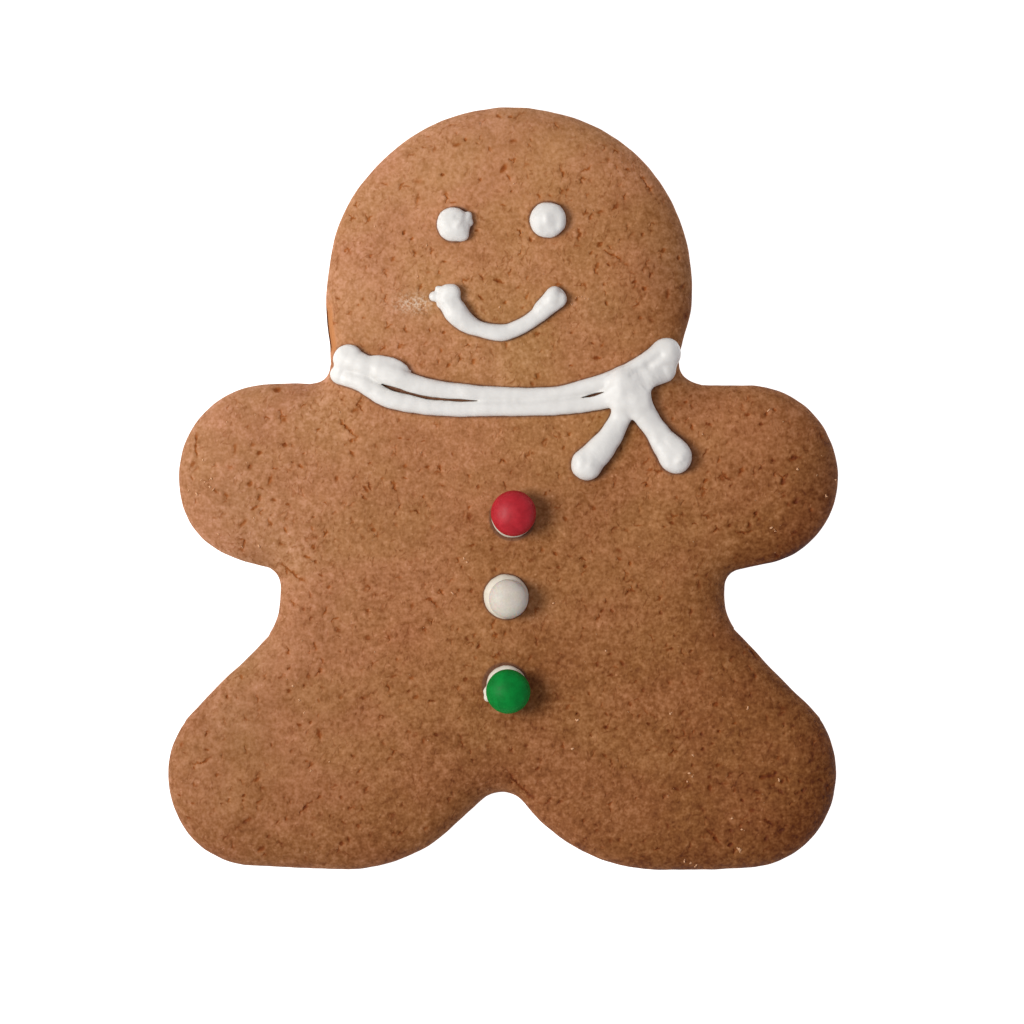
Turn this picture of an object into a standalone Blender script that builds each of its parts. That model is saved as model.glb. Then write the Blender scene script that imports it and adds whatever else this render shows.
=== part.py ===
"""Gingerbread man cookie lying face up, with a piped icing face and scarf and three candy buttons.

The underside rests on z = 0, the iced face looks along +Z and the head points along +Y.
Left and right are as seen by someone looking at the face. Sizes are in millimetres, and MM
turns them into the metres of the model.
"""

import bisect
import math

import bmesh
import bpy

MM = 0.001
FULL_TURN = 2.0 * math.pi
COLLECTION = "gingerbread_man"
HELPERS = "helpers"

# Left between two pieces that rest on each other.
GAP = 0.3

# In metres: points nearer than this are the same corner.
WELD = 0.000005

# Cookie
COOKIE_THICKNESS = 8.0
BASE_ROUND = 1.2  # radius round the underside
BASE_STEPS = 2
WALL_TOP = 4.0  # the side is upright below this height
EDGE_WIDTH = 10.0  # the top rises over this distance from the outline and is flat further in
EDGE_STEPS = 6
EDGE_CROWDING = 1.7  # over 1 sets the steps closer together near the outline
EDGE_POWER = 2.5  # over 2 makes the edge fuller than a quarter round
ARC_SPACING = 2.6
MOST_ARC_STEP = math.radians(16.0)

# The outline is a band drawn round these arcs, in order, counter-clockwise seen from above.
# Straight lines touching both arcs join each one to the next.
BULGE = 1.0
HOLLOW = -1.0
OUTLINE = [
    # name, centre x, centre y, radius, side
    ("crown of the head", 1.4, 36.7, 33.3, BULGE),
    ("left cheek", -7.6, 33.9, 24.9, BULGE),
    ("left side of the neck", -36.4, 23.8, 4.4, HOLLOW),
    ("top of the left arm", -42.6, 2.3, 16.9, BULGE),
    ("end of the left arm", -46.0, 0.6, 13.3, BULGE),
    ("under the left arm", -44.6, -17.8, 3.7, HOLLOW),
    ("left side of the waist", -52.0, -20.5, 11.0, HOLLOW),
    ("left foot", -44.9, -52.6, 16.6, BULGE),
    ("inside of the left leg", -29.0, -41.0, 28.9, BULGE),
    ("between the legs", -0.1, -61.3, 5.7, HOLLOW),
    ("inside of the right leg", 28.8, -39.6, 30.4, BULGE),
    ("right foot", 44.0, -52.4, 17.2, BULGE),
    ("right side of the waist", 51.0, -20.0, 10.3, HOLLOW),
    ("under the right arm", 43.8, -18.1, 3.1, HOLLOW),
    ("right arm", 44.7, 2.2, 16.8, BULGE),
    ("right side of the neck", 37.2, 23.7, 4.7, HOLLOW),
]

# Piped icing. A strand is a round bead through its stops (x, y, width), pressed lower by
# BEAD_FLATNESS, with its middle BEAD_LIFT of its width above the cookie.
BEAD_FLATNESS = 0.8
BEAD_LIFT = 0.25
BEAD_ROUNDING = 4  # steps of rounding between the flats of the round bead
STATION_SPACING = 2.0
CAP_ANGLES = [math.radians(angle) for angle in (22.0, 50.0, 75.0)]
SAMPLES_PER_SPAN = 10

SMILE = [
    (-10.2, 35.1, 4.1),
    (-9.1, 33.3, 3.8),
    (-7.5, 31.2, 3.5),
    (-4.8, 29.4, 3.0),
    (-0.2, 28.6, 3.1),
    (3.1, 29.5, 3.0),
    (6.2, 31.4, 3.1),
    (9.7, 34.9, 3.9),
]
SMILE_DRIP = [
    (-10.6, 35.1, 2.0),
    (-12.6, 35.1, 1.6),
]
SCARF_UPPER = [
    (-28.6, 24.1, 4.6),
    (-24.8, 22.4, 3.8),
    (-20.3, 21.2, 5.2),
    (-16.6, 19.2, 3.8),
    (-10.6, 18.0, 3.3),
    (-1.5, 17.3, 3.1),
    (7.7, 17.4, 2.9),
    (13.2, 18.3, 3.0),
    (19.2, 19.9, 3.6),
    (24.6, 22.2, 4.0),
    (29.4, 24.6, 5.2),
]
SCARF_LOWER = [
    (-29.6, 20.5, 3.7),
    (-25.8, 19.2, 3.4),
    (-22.5, 17.1, 3.3),
    (-19.8, 16.1, 3.7),
    (-15.2, 15.1, 3.2),
    (-9.2, 14.6, 3.0),
    (5.4, 14.8, 3.0),
    (12.3, 15.2, 3.0),
    (16.9, 15.9, 3.2),
    (21.6, 17.6, 5.0),
]
SCARF_KNOT = [
    (22.8, 18.6, 5.4),
    (29.3, 20.8, 4.6),
]
SCARF_TAIL_LEFT = [
    (22.4, 16.2, 4.4),
    (21.5, 12.4, 4.0),
    (19.1, 8.6, 4.4),
    (15.1, 4.0, 5.7),
]
SCARF_TAIL_RIGHT = [
    (23.4, 16.2, 4.4),
    (27.4, 10.9, 4.6),
    (31.4, 5.8, 5.8),
]

# Balls, for the blobs of icing and the candies
BALL_SEGMENTS = 20
BALL_RINGS = 10

# Round blobs of icing: x, y, width, height above the cookie.
BLOB_SINK = 0.3  # the widest part is this fraction of the height up from the cookie
EYE_LEFT = (-8.9, 48.3, 6.4, 2.4)
EYE_LEFT_TAIL = (-6.1, 49.2, 2.5, 1.4)
EYE_RIGHT = (8.1, 49.2, 6.6, 2.5)

# Candy buttons: name, x, y, width, then x, y, width of the icing dot each one sits in.
CANDY_HEIGHT = 5.8
CANDY_SINK = 0.9  # height of the underside of a candy above the cookie
DOT_HEIGHT = 2.9
BUTTONS = [
    ("red", 1.8, -4.6, 8.1, 1.7, -5.3, 8.2),
    ("white", 1.0, -20.2, 7.3, 0.5, -19.8, 8.2),
    ("green", 0.9, -37.2, 8.0, 0.4, -36.1, 8.2),
]

# Colours are linear RGB.
GINGERBREAD = (0.33, 0.155, 0.072)
GINGERBREAD_ROUGHNESS = 0.85
ICING = (0.83, 0.82, 0.80)
ICING_ROUGHNESS = 0.5
CANDY_ROUGHNESS = 0.35
CANDY_COLOURS = {
    "red": (0.42, 0.012, 0.020),
    "white": (0.66, 0.58, 0.47),
    "green": (0.004, 0.165, 0.035),
}


def clear_scene():
    for thing in list(bpy.data.objects):
        bpy.data.objects.remove(thing, do_unlink=True)


def new_collection(name):
    collection = bpy.data.collections.new(name)
    bpy.context.scene.collection.children.link(collection)
    return collection


def new_material(name, colour, roughness):
    material = bpy.data.materials.new(name)
    material.use_nodes = True
    shader = material.node_tree.nodes["Principled BSDF"]
    shader.inputs["Base Color"].default_value = (*colour, 1.0)
    shader.inputs["Roughness"].default_value = roughness
    return material


def add_object(name, mesh, collection, material=None):
    """Puts a finished mesh in the scene, smooth shaded, with its material."""
    for face in mesh.polygons:
        face.use_smooth = True
    if material:
        mesh.materials.append(material)
    thing = bpy.data.objects.new(name, mesh)
    collection.objects.link(thing)
    if collection.hide_render:
        thing.hide_render = True
        thing.display_type = "WIRE"
    return thing


def mesh_from(shape, name):
    mesh = bpy.data.meshes.new(name)
    shape.to_mesh(mesh)
    shape.free()
    return mesh


def combine(thing, other, operation):
    """Joins other to thing, or cuts it away, with an exact Boolean."""
    modifier = thing.modifiers.new(f"{operation.lower()}_{other.name}", "BOOLEAN")
    modifier.operation = operation
    modifier.solver = "EXACT"
    modifier.object = other


def outline_points(grow=0.0):
    """The outline of the cookie, moved outwards by grow, counter-clockwise seen from above."""
    arcs = [(x, y, side * radius + grow) for _, x, y, radius, side in OUTLINE]
    headings = []
    for index, (x, y, radius) in enumerate(arcs):
        next_x, next_y, next_radius = arcs[(index + 1) % len(arcs)]
        reach = math.hypot(next_x - x, next_y - y)
        bearing = math.atan2(next_y - y, next_x - x)
        headings.append(bearing + math.asin((radius - next_radius) / reach))
    points = []
    for index, (x, y, radius) in enumerate(arcs):
        start = headings[index - 1]
        turn = (headings[index] - start) % FULL_TURN
        if radius < 0.0:
            turn -= FULL_TURN
        most_step = min(MOST_ARC_STEP, ARC_SPACING / abs(radius))
        steps = math.ceil(abs(turn) / most_step)
        for step in range(steps + 1):
            heading = start + turn * step / steps
            points.append((x + radius * math.sin(heading), y - radius * math.cos(heading)))
    return points


def top_height(inset):
    """Height of the top of the cookie at this distance in from its outline."""
    across = 1.0 - min(max(inset, 0.0), EDGE_WIDTH) / EDGE_WIDTH
    return WALL_TOP + (COOKIE_THICKNESS - WALL_TOP) * math.sqrt(1.0 - across**EDGE_POWER)


def distance_to_line(x, y, start, end):
    span_x = end[0] - start[0]
    span_y = end[1] - start[1]
    along = (x - start[0]) * span_x + (y - start[1]) * span_y
    along = min(1.0, max(0.0, along / (span_x**2 + span_y**2)))
    return math.hypot(x - start[0] - along * span_x, y - start[1] - along * span_y)


def surface_height(x, y):
    """Height of the top of the cookie at a place inside its outline."""
    points = outline_points()
    ends = points[1:] + points[:1]
    inset = min(distance_to_line(x, y, start, end) for start, end in zip(points, ends))
    return top_height(inset)


def shape_from_curve(curve):
    """The filled or tubular form of a curve as an editable shape, with its caps welded on."""
    guide = bpy.data.objects.new(f"{curve.name}_guide", curve)
    mesh = bpy.data.meshes.new_from_object(guide)
    bpy.data.objects.remove(guide)
    shape = bmesh.new()
    shape.from_mesh(mesh)
    bpy.data.meshes.remove(mesh)
    bmesh.ops.remove_doubles(shape, verts=list(shape.verts), dist=WELD)
    bmesh.ops.recalc_face_normals(shape, faces=list(shape.faces))
    return shape


def plate(name, points, low, high):
    """A flat plate in this outline, and its lower and upper face."""
    curve = bpy.data.curves.new(name, "CURVE")
    curve.dimensions = "2D"
    curve.fill_mode = "BOTH"
    curve.extrude = 0.5 * (high - low) * MM
    spline = curve.splines.new("POLY")
    spline.points.add(len(points) - 1)
    for point, (x, y) in zip(spline.points, points):
        point.co = (x * MM, y * MM, 0.0, 1.0)
    spline.use_cyclic_u = True
    shape = shape_from_curve(curve)
    bmesh.ops.translate(shape, verts=list(shape.verts), vec=(0.0, 0.0, 0.5 * (low + high) * MM))
    caps = []
    for facing in (-1.0, 1.0):
        flat = [face for face in shape.faces if face.normal.z * facing > 0.9]
        caps += bmesh.ops.dissolve_faces(shape, faces=flat)["region"]
    return shape, caps


def cookie_mesh(name, grow=0.0):
    """The cookie: a plate in its outline, with a small round below and a wide soft round on top."""
    wall_top = WALL_TOP + grow
    shape, (base, top) = plate(name, outline_points(grow), BASE_ROUND, wall_top)
    base_rings = []
    for step in range(1, BASE_STEPS + 1):
        angle = 0.5 * math.pi * step / BASE_STEPS
        base_rings.append((BASE_ROUND * (1.0 - math.cos(angle)), BASE_ROUND * math.sin(angle)))
    top_rings = []
    for step in range(1, EDGE_STEPS + 1):
        inset = EDGE_WIDTH * (step / EDGE_STEPS) ** EDGE_CROWDING
        top_rings.append((inset, top_height(inset) - WALL_TOP))
    for face, rings in ((base, base_rings), (top, top_rings)):
        last_inset = 0.0
        last_depth = 0.0
        for inset, depth in rings:
            bmesh.ops.inset_region(
                shape,
                faces=[face],
                thickness=(inset - last_inset) * MM,
                depth=(depth - last_depth) * MM,
                use_even_offset=True,
            )
            last_inset = inset
            last_depth = depth
    return mesh_from(shape, name)


def smooth_path(stops):
    """Points (x, y, width) along a smooth line that passes through every stop."""
    padded = [stops[0], *stops, stops[-1]]
    points = []
    for before, start, end, after in zip(padded, padded[1:], padded[2:], padded[3:]):
        for sample in range(SAMPLES_PER_SPAN):
            t = sample / SAMPLES_PER_SPAN
            weights = (
                0.5 * (-t + 2.0 * t**2 - t**3),
                0.5 * (2.0 - 5.0 * t**2 + 3.0 * t**3),
                0.5 * (t + 4.0 * t**2 - 3.0 * t**3),
                0.5 * (t**3 - t**2),
            )
            corners = zip(before, start, end, after)
            points.append(tuple(sum(w * v for w, v in zip(weights, four)) for four in corners))
    points.append(tuple(stops[-1]))
    return points


def tip(stop, neighbour):
    """The end of a bead, half its width beyond its last stop."""
    reach = 0.5 * stop[2] / math.dist(stop[:2], neighbour[:2])
    x, y = (a + (a - b) * reach for a, b in zip(stop[:2], neighbour[:2]))
    return (x, y, stop[2])


def bead_stations(stops):
    """Stations (x, y, radius) along a bead, with round ends centred on its first and last stop."""
    points = smooth_path([tip(stops[0], stops[1]), *stops, tip(stops[-1], stops[-2])])
    lengths = [0.0]
    for start, end in zip(points, points[1:]):
        lengths.append(lengths[-1] + math.dist(start[:2], end[:2]))
    total = lengths[-1]
    first_radius = 0.5 * stops[0][2]
    last_radius = 0.5 * stops[-1][2]
    places = [(first_radius * (1.0 - math.cos(angle)), math.sin(angle)) for angle in CAP_ANGLES]
    middle = total - first_radius - last_radius
    steps = max(1, round(middle / STATION_SPACING))
    places += [(first_radius + middle * step / steps, 1.0) for step in range(steps + 1)]
    for angle in reversed(CAP_ANGLES):
        places.append((total - last_radius * (1.0 - math.cos(angle)), math.sin(angle)))
    stations = []
    for place, fullness in places:
        index = min(bisect.bisect_right(lengths, place), len(points) - 1)
        share = (place - lengths[index - 1]) / (lengths[index] - lengths[index - 1])
        x, y, width = (a + (b - a) * share for a, b in zip(points[index - 1], points[index]))
        stations.append((x, y, 0.5 * width * fullness))
    return stations


def strand(name, stops, collection, material=None):
    """A piped strand of icing, lying on the top of the cookie."""
    curve = bpy.data.curves.new(name, "CURVE")
    curve.dimensions = "3D"
    curve.twist_mode = "Z_UP"
    curve.bevel_depth = MM
    curve.bevel_resolution = BEAD_ROUNDING
    curve.use_fill_caps = True
    spline = curve.splines.new("POLY")
    stations = bead_stations(stops)
    spline.points.add(len(stations) - 1)
    for point, (x, y, radius) in zip(spline.points, stations):
        middle = surface_height(x, y) + GAP + 2.0 * radius * BEAD_LIFT
        # The whole bead is pressed by BEAD_FLATNESS below, so its line starts that much higher.
        point.co = (x * MM, y * MM, middle / BEAD_FLATNESS * MM, 1.0)
        point.radius = radius
    shape = shape_from_curve(curve)
    bmesh.ops.scale(shape, verts=list(shape.verts), vec=(1.0, 1.0, BEAD_FLATNESS))
    return add_object(name, mesh_from(shape, name), collection, material)


def spheroid(name, centre, width, height, collection, material=None):
    """A ball pressed to this width and height, its middle at centre."""
    shape = bmesh.new()
    bmesh.ops.create_uvsphere(
        shape, u_segments=BALL_SEGMENTS, v_segments=BALL_RINGS, radius=0.5 * MM
    )
    bmesh.ops.scale(shape, verts=list(shape.verts), vec=(width, width, height))
    thing = add_object(name, mesh_from(shape, name), collection, material)
    thing.location = [value * MM for value in centre]
    return thing


def blob(name, place, collection, material=None):
    """A round blob of icing on the cookie, as an upright spheroid whose foot is cut off later."""
    x, y, width, height = place
    centre = (x, y, surface_height(x, y) + GAP + BLOB_SINK * height)
    return spheroid(name, centre, width, 2.0 * (1.0 - BLOB_SINK) * height, collection, material)


def icing(name):
    return new_material(name, ICING, ICING_ROUGHNESS)


def make_cookie(parts):
    material = new_material("gingerbread", GINGERBREAD, GINGERBREAD_ROUGHNESS)
    add_object("cookie", cookie_mesh("cookie"), parts, material)


def make_smile(parts, helpers, cookie_room):
    smile = strand("smile", SMILE, parts, icing("icing_smile"))
    combine(smile, strand("smile_drip", SMILE_DRIP, helpers), "UNION")
    combine(smile, cookie_room, "DIFFERENCE")


def make_scarf(parts, helpers, cookie_room):
    """Two strands side by side, knotted near the right end, where two tails hang down."""
    scarf = strand("scarf", SCARF_UPPER, parts, icing("icing_scarf"))
    for name, stops in (
        ("scarf_lower", SCARF_LOWER),
        ("scarf_knot", SCARF_KNOT),
        ("scarf_tail_left", SCARF_TAIL_LEFT),
        ("scarf_tail_right", SCARF_TAIL_RIGHT),
    ):
        combine(scarf, strand(name, stops, helpers), "UNION")
    combine(scarf, cookie_room, "DIFFERENCE")


def make_eyes(parts, helpers, cookie_room):
    """Two round blobs, the left one with a little tail of icing at its side."""
    left = blob("eye_left", EYE_LEFT, parts, icing("icing_eye_left"))
    combine(left, blob("eye_left_tail", EYE_LEFT_TAIL, helpers), "UNION")
    right = blob("eye_right", EYE_RIGHT, parts, icing("icing_eye_right"))
    for eye in (left, right):
        combine(eye, cookie_room, "DIFFERENCE")


def make_button(button, parts, helpers, cookie_room):
    """A candy, and the dot of icing it is pressed into, hollowed to leave GAP round the candy."""
    colour, x, y, width, dot_x, dot_y, dot_width = button
    centre = (x, y, surface_height(x, y) + CANDY_SINK + 0.5 * CANDY_HEIGHT)
    coating = new_material(f"candy_{colour}", CANDY_COLOURS[colour], CANDY_ROUGHNESS)
    spheroid(f"candy_{colour}", centre, width, CANDY_HEIGHT, parts, coating)
    room_width = width + 2.0 * GAP
    room_height = CANDY_HEIGHT + 2.0 * GAP
    candy_room = spheroid(f"room_{colour}", centre, room_width, room_height, helpers)
    dot_name = f"icing_dot_{colour}"
    dot = blob(dot_name, (dot_x, dot_y, dot_width, DOT_HEIGHT), parts, icing(dot_name))
    combine(dot, candy_room, "DIFFERENCE")
    combine(dot, cookie_room, "DIFFERENCE")


def build():
    clear_scene()
    parts = new_collection(COLLECTION)
    helpers = new_collection(HELPERS)
    helpers.hide_render = True
    make_cookie(parts)
    # Everything that lies on the cookie is cut off along this larger copy, GAP above it.
    cookie_room = add_object("cookie_room", cookie_mesh("cookie_room", GAP), helpers)
    make_smile(parts, helpers, cookie_room)
    make_scarf(parts, helpers, cookie_room)
    make_eyes(parts, helpers, cookie_room)
    for button in BUTTONS:
        make_button(button, parts, helpers, cookie_room)


build()
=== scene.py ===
"""Looks of a gingerbread man cookie: baked surface, piped icing, sugar-coated candies, studio.

Shapes are worked out in millimetres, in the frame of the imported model: the underside rests on
z = 0, the iced face looks along +Z and the head points along +Y. MM turns them into metres.
Every random draw has a seed, so each run gives the same cookie.
"""

import itertools
import math

import bpy
import numpy as np
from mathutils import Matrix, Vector
from mathutils.geometry import delaunay_2d_cdt


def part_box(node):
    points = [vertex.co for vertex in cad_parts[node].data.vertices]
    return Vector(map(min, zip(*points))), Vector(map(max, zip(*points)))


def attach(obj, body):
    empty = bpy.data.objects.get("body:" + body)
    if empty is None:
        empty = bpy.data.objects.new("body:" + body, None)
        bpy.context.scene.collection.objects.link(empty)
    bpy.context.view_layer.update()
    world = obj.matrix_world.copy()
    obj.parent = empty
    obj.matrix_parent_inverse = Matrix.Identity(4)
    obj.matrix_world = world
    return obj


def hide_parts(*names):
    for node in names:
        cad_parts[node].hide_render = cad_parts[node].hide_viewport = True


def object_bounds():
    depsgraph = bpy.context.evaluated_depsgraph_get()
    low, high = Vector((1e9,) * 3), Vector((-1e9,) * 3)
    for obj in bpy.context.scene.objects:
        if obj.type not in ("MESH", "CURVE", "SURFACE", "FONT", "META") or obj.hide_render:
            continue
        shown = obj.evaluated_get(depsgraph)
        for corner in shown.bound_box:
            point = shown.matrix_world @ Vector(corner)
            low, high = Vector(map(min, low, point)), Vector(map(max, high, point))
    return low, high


MM = 0.001
SEED = 20
FULL_TURN = 2.0 * math.pi

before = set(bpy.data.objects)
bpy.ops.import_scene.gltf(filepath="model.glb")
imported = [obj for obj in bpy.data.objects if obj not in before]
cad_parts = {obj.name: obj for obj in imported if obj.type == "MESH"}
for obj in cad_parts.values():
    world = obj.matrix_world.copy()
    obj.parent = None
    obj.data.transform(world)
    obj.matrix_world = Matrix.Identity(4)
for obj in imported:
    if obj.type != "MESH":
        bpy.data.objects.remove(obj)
cad_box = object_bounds()

# ---------------------------------------------------------------- forms taken from the solids

# The top of the cookie rises from the top of its wall over this distance, in millimetres.
EDGE_WIDTH = 10.0
EDGE_POWER = 2.5
BASE_ROUND = 1.2  # radius of the round under the wall
OUTLINE_STEP = 0.42  # between the corners of the outline


def box_mm(node):
    """Lowest and highest corner of a solid, in millimetres."""
    return [np.array(corner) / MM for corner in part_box(node)]


# Piped strands, as stops (x, y, width) in millimetres: the lines that the icing solids follow.
SMILE = [
    (-10.1, 34.8, 4.1), (-9.25, 33, 4), (-7.55, 31, 3.8), (-4.8, 29.35, 3), (-0.2, 28.5, 2.9),
    (3.1, 29.58, 2.85), (6.15, 31.5, 2.85), (7.7, 33.1, 3.55), (9.5, 34.75, 3.95),
]
SMILE_DRIP = [(-10.6, 35.1, 2.0), (-12.6, 35.2, 1.6)]
SCARF_UPPER = [
    (-28.6, 24, 4.5), (-24.8, 22.35, 3.8), (-20.3, 20.7, 4.2), (-16.6, 19.1, 3.6),
    (-10.6, 17.95, 3.2), (-1.5, 17.2, 2.85), (7.7, 17.2, 2.6), (13.2, 18.1, 2.75),
    (19.2, 19.65, 3.3), (24.6, 21.95, 3.75), (27.2, 23.3, 4.3), (29.7, 24.7, 5.1),
]
SCARF_LOWER = [
    (-29.6, 20.75, 3.5), (-25.8, 19.3, 3.3), (-22.5, 17.15, 3.3), (-19.8, 16.2, 3.5),
    (-15.2, 15.2, 3.1), (-9.2, 14.65, 2.95), (5.4, 14.8, 3), (12.3, 15.15, 3), (16.9, 15.85, 3.2),
    (21.6, 17.6, 5),
]
SCARF_KNOT = [(22.6, 18.7, 5.2), (29.3, 21.7, 4.0)]
SCARF_TAIL_LEFT = [
    (22.3, 16.4, 4.4), (21.7, 13.6, 4), (20.75, 11.5, 3.9), (19.5, 9.3, 4.4), (17.7, 7, 5.1),
    (16.3, 5.6, 5.5), (15.3, 4.4, 5.9),
]
SCARF_TAIL_RIGHT = [
    (24.3, 15.9, 5.3), (27, 11.9, 4.15), (28.3, 10.15, 4.4), (29.2, 8.7, 5), (30.6, 7.1, 6),
    (31.5, 5.75, 6.25),
]
# Open slits between the two strands of the scarf, also as stops (x, y, width).
SCARF_SLITS = [
    [
        (-22.2, 19.1, 0.1), (-20.3, 18.3, 0.66), (-18.9, 17.9, 0.7), (-17.2, 17.4, 0.46),
        (-14, 16.6, 0.4), (-10.8, 16.3, 0.38), (-7.3, 16.1, 0.36), (-4.6, 16, 0.1),
    ],
    [(14.4, 16.6, 0.1), (16.5, 17.08, 0.45), (18.5, 17.65, 0.12)],
]

SCARF = [SCARF_UPPER, SCARF_LOWER, SCARF_KNOT, SCARF_TAIL_LEFT, SCARF_TAIL_RIGHT]
ICING_STRANDS = [SMILE, SMILE_DRIP, *SCARF]
ROUND_ICING = ("eye_left", "eye_right", "icing_dot_red", "icing_dot_white", "icing_dot_green")

# ---------------------------------------------------------------- marks on the baked surface

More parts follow.
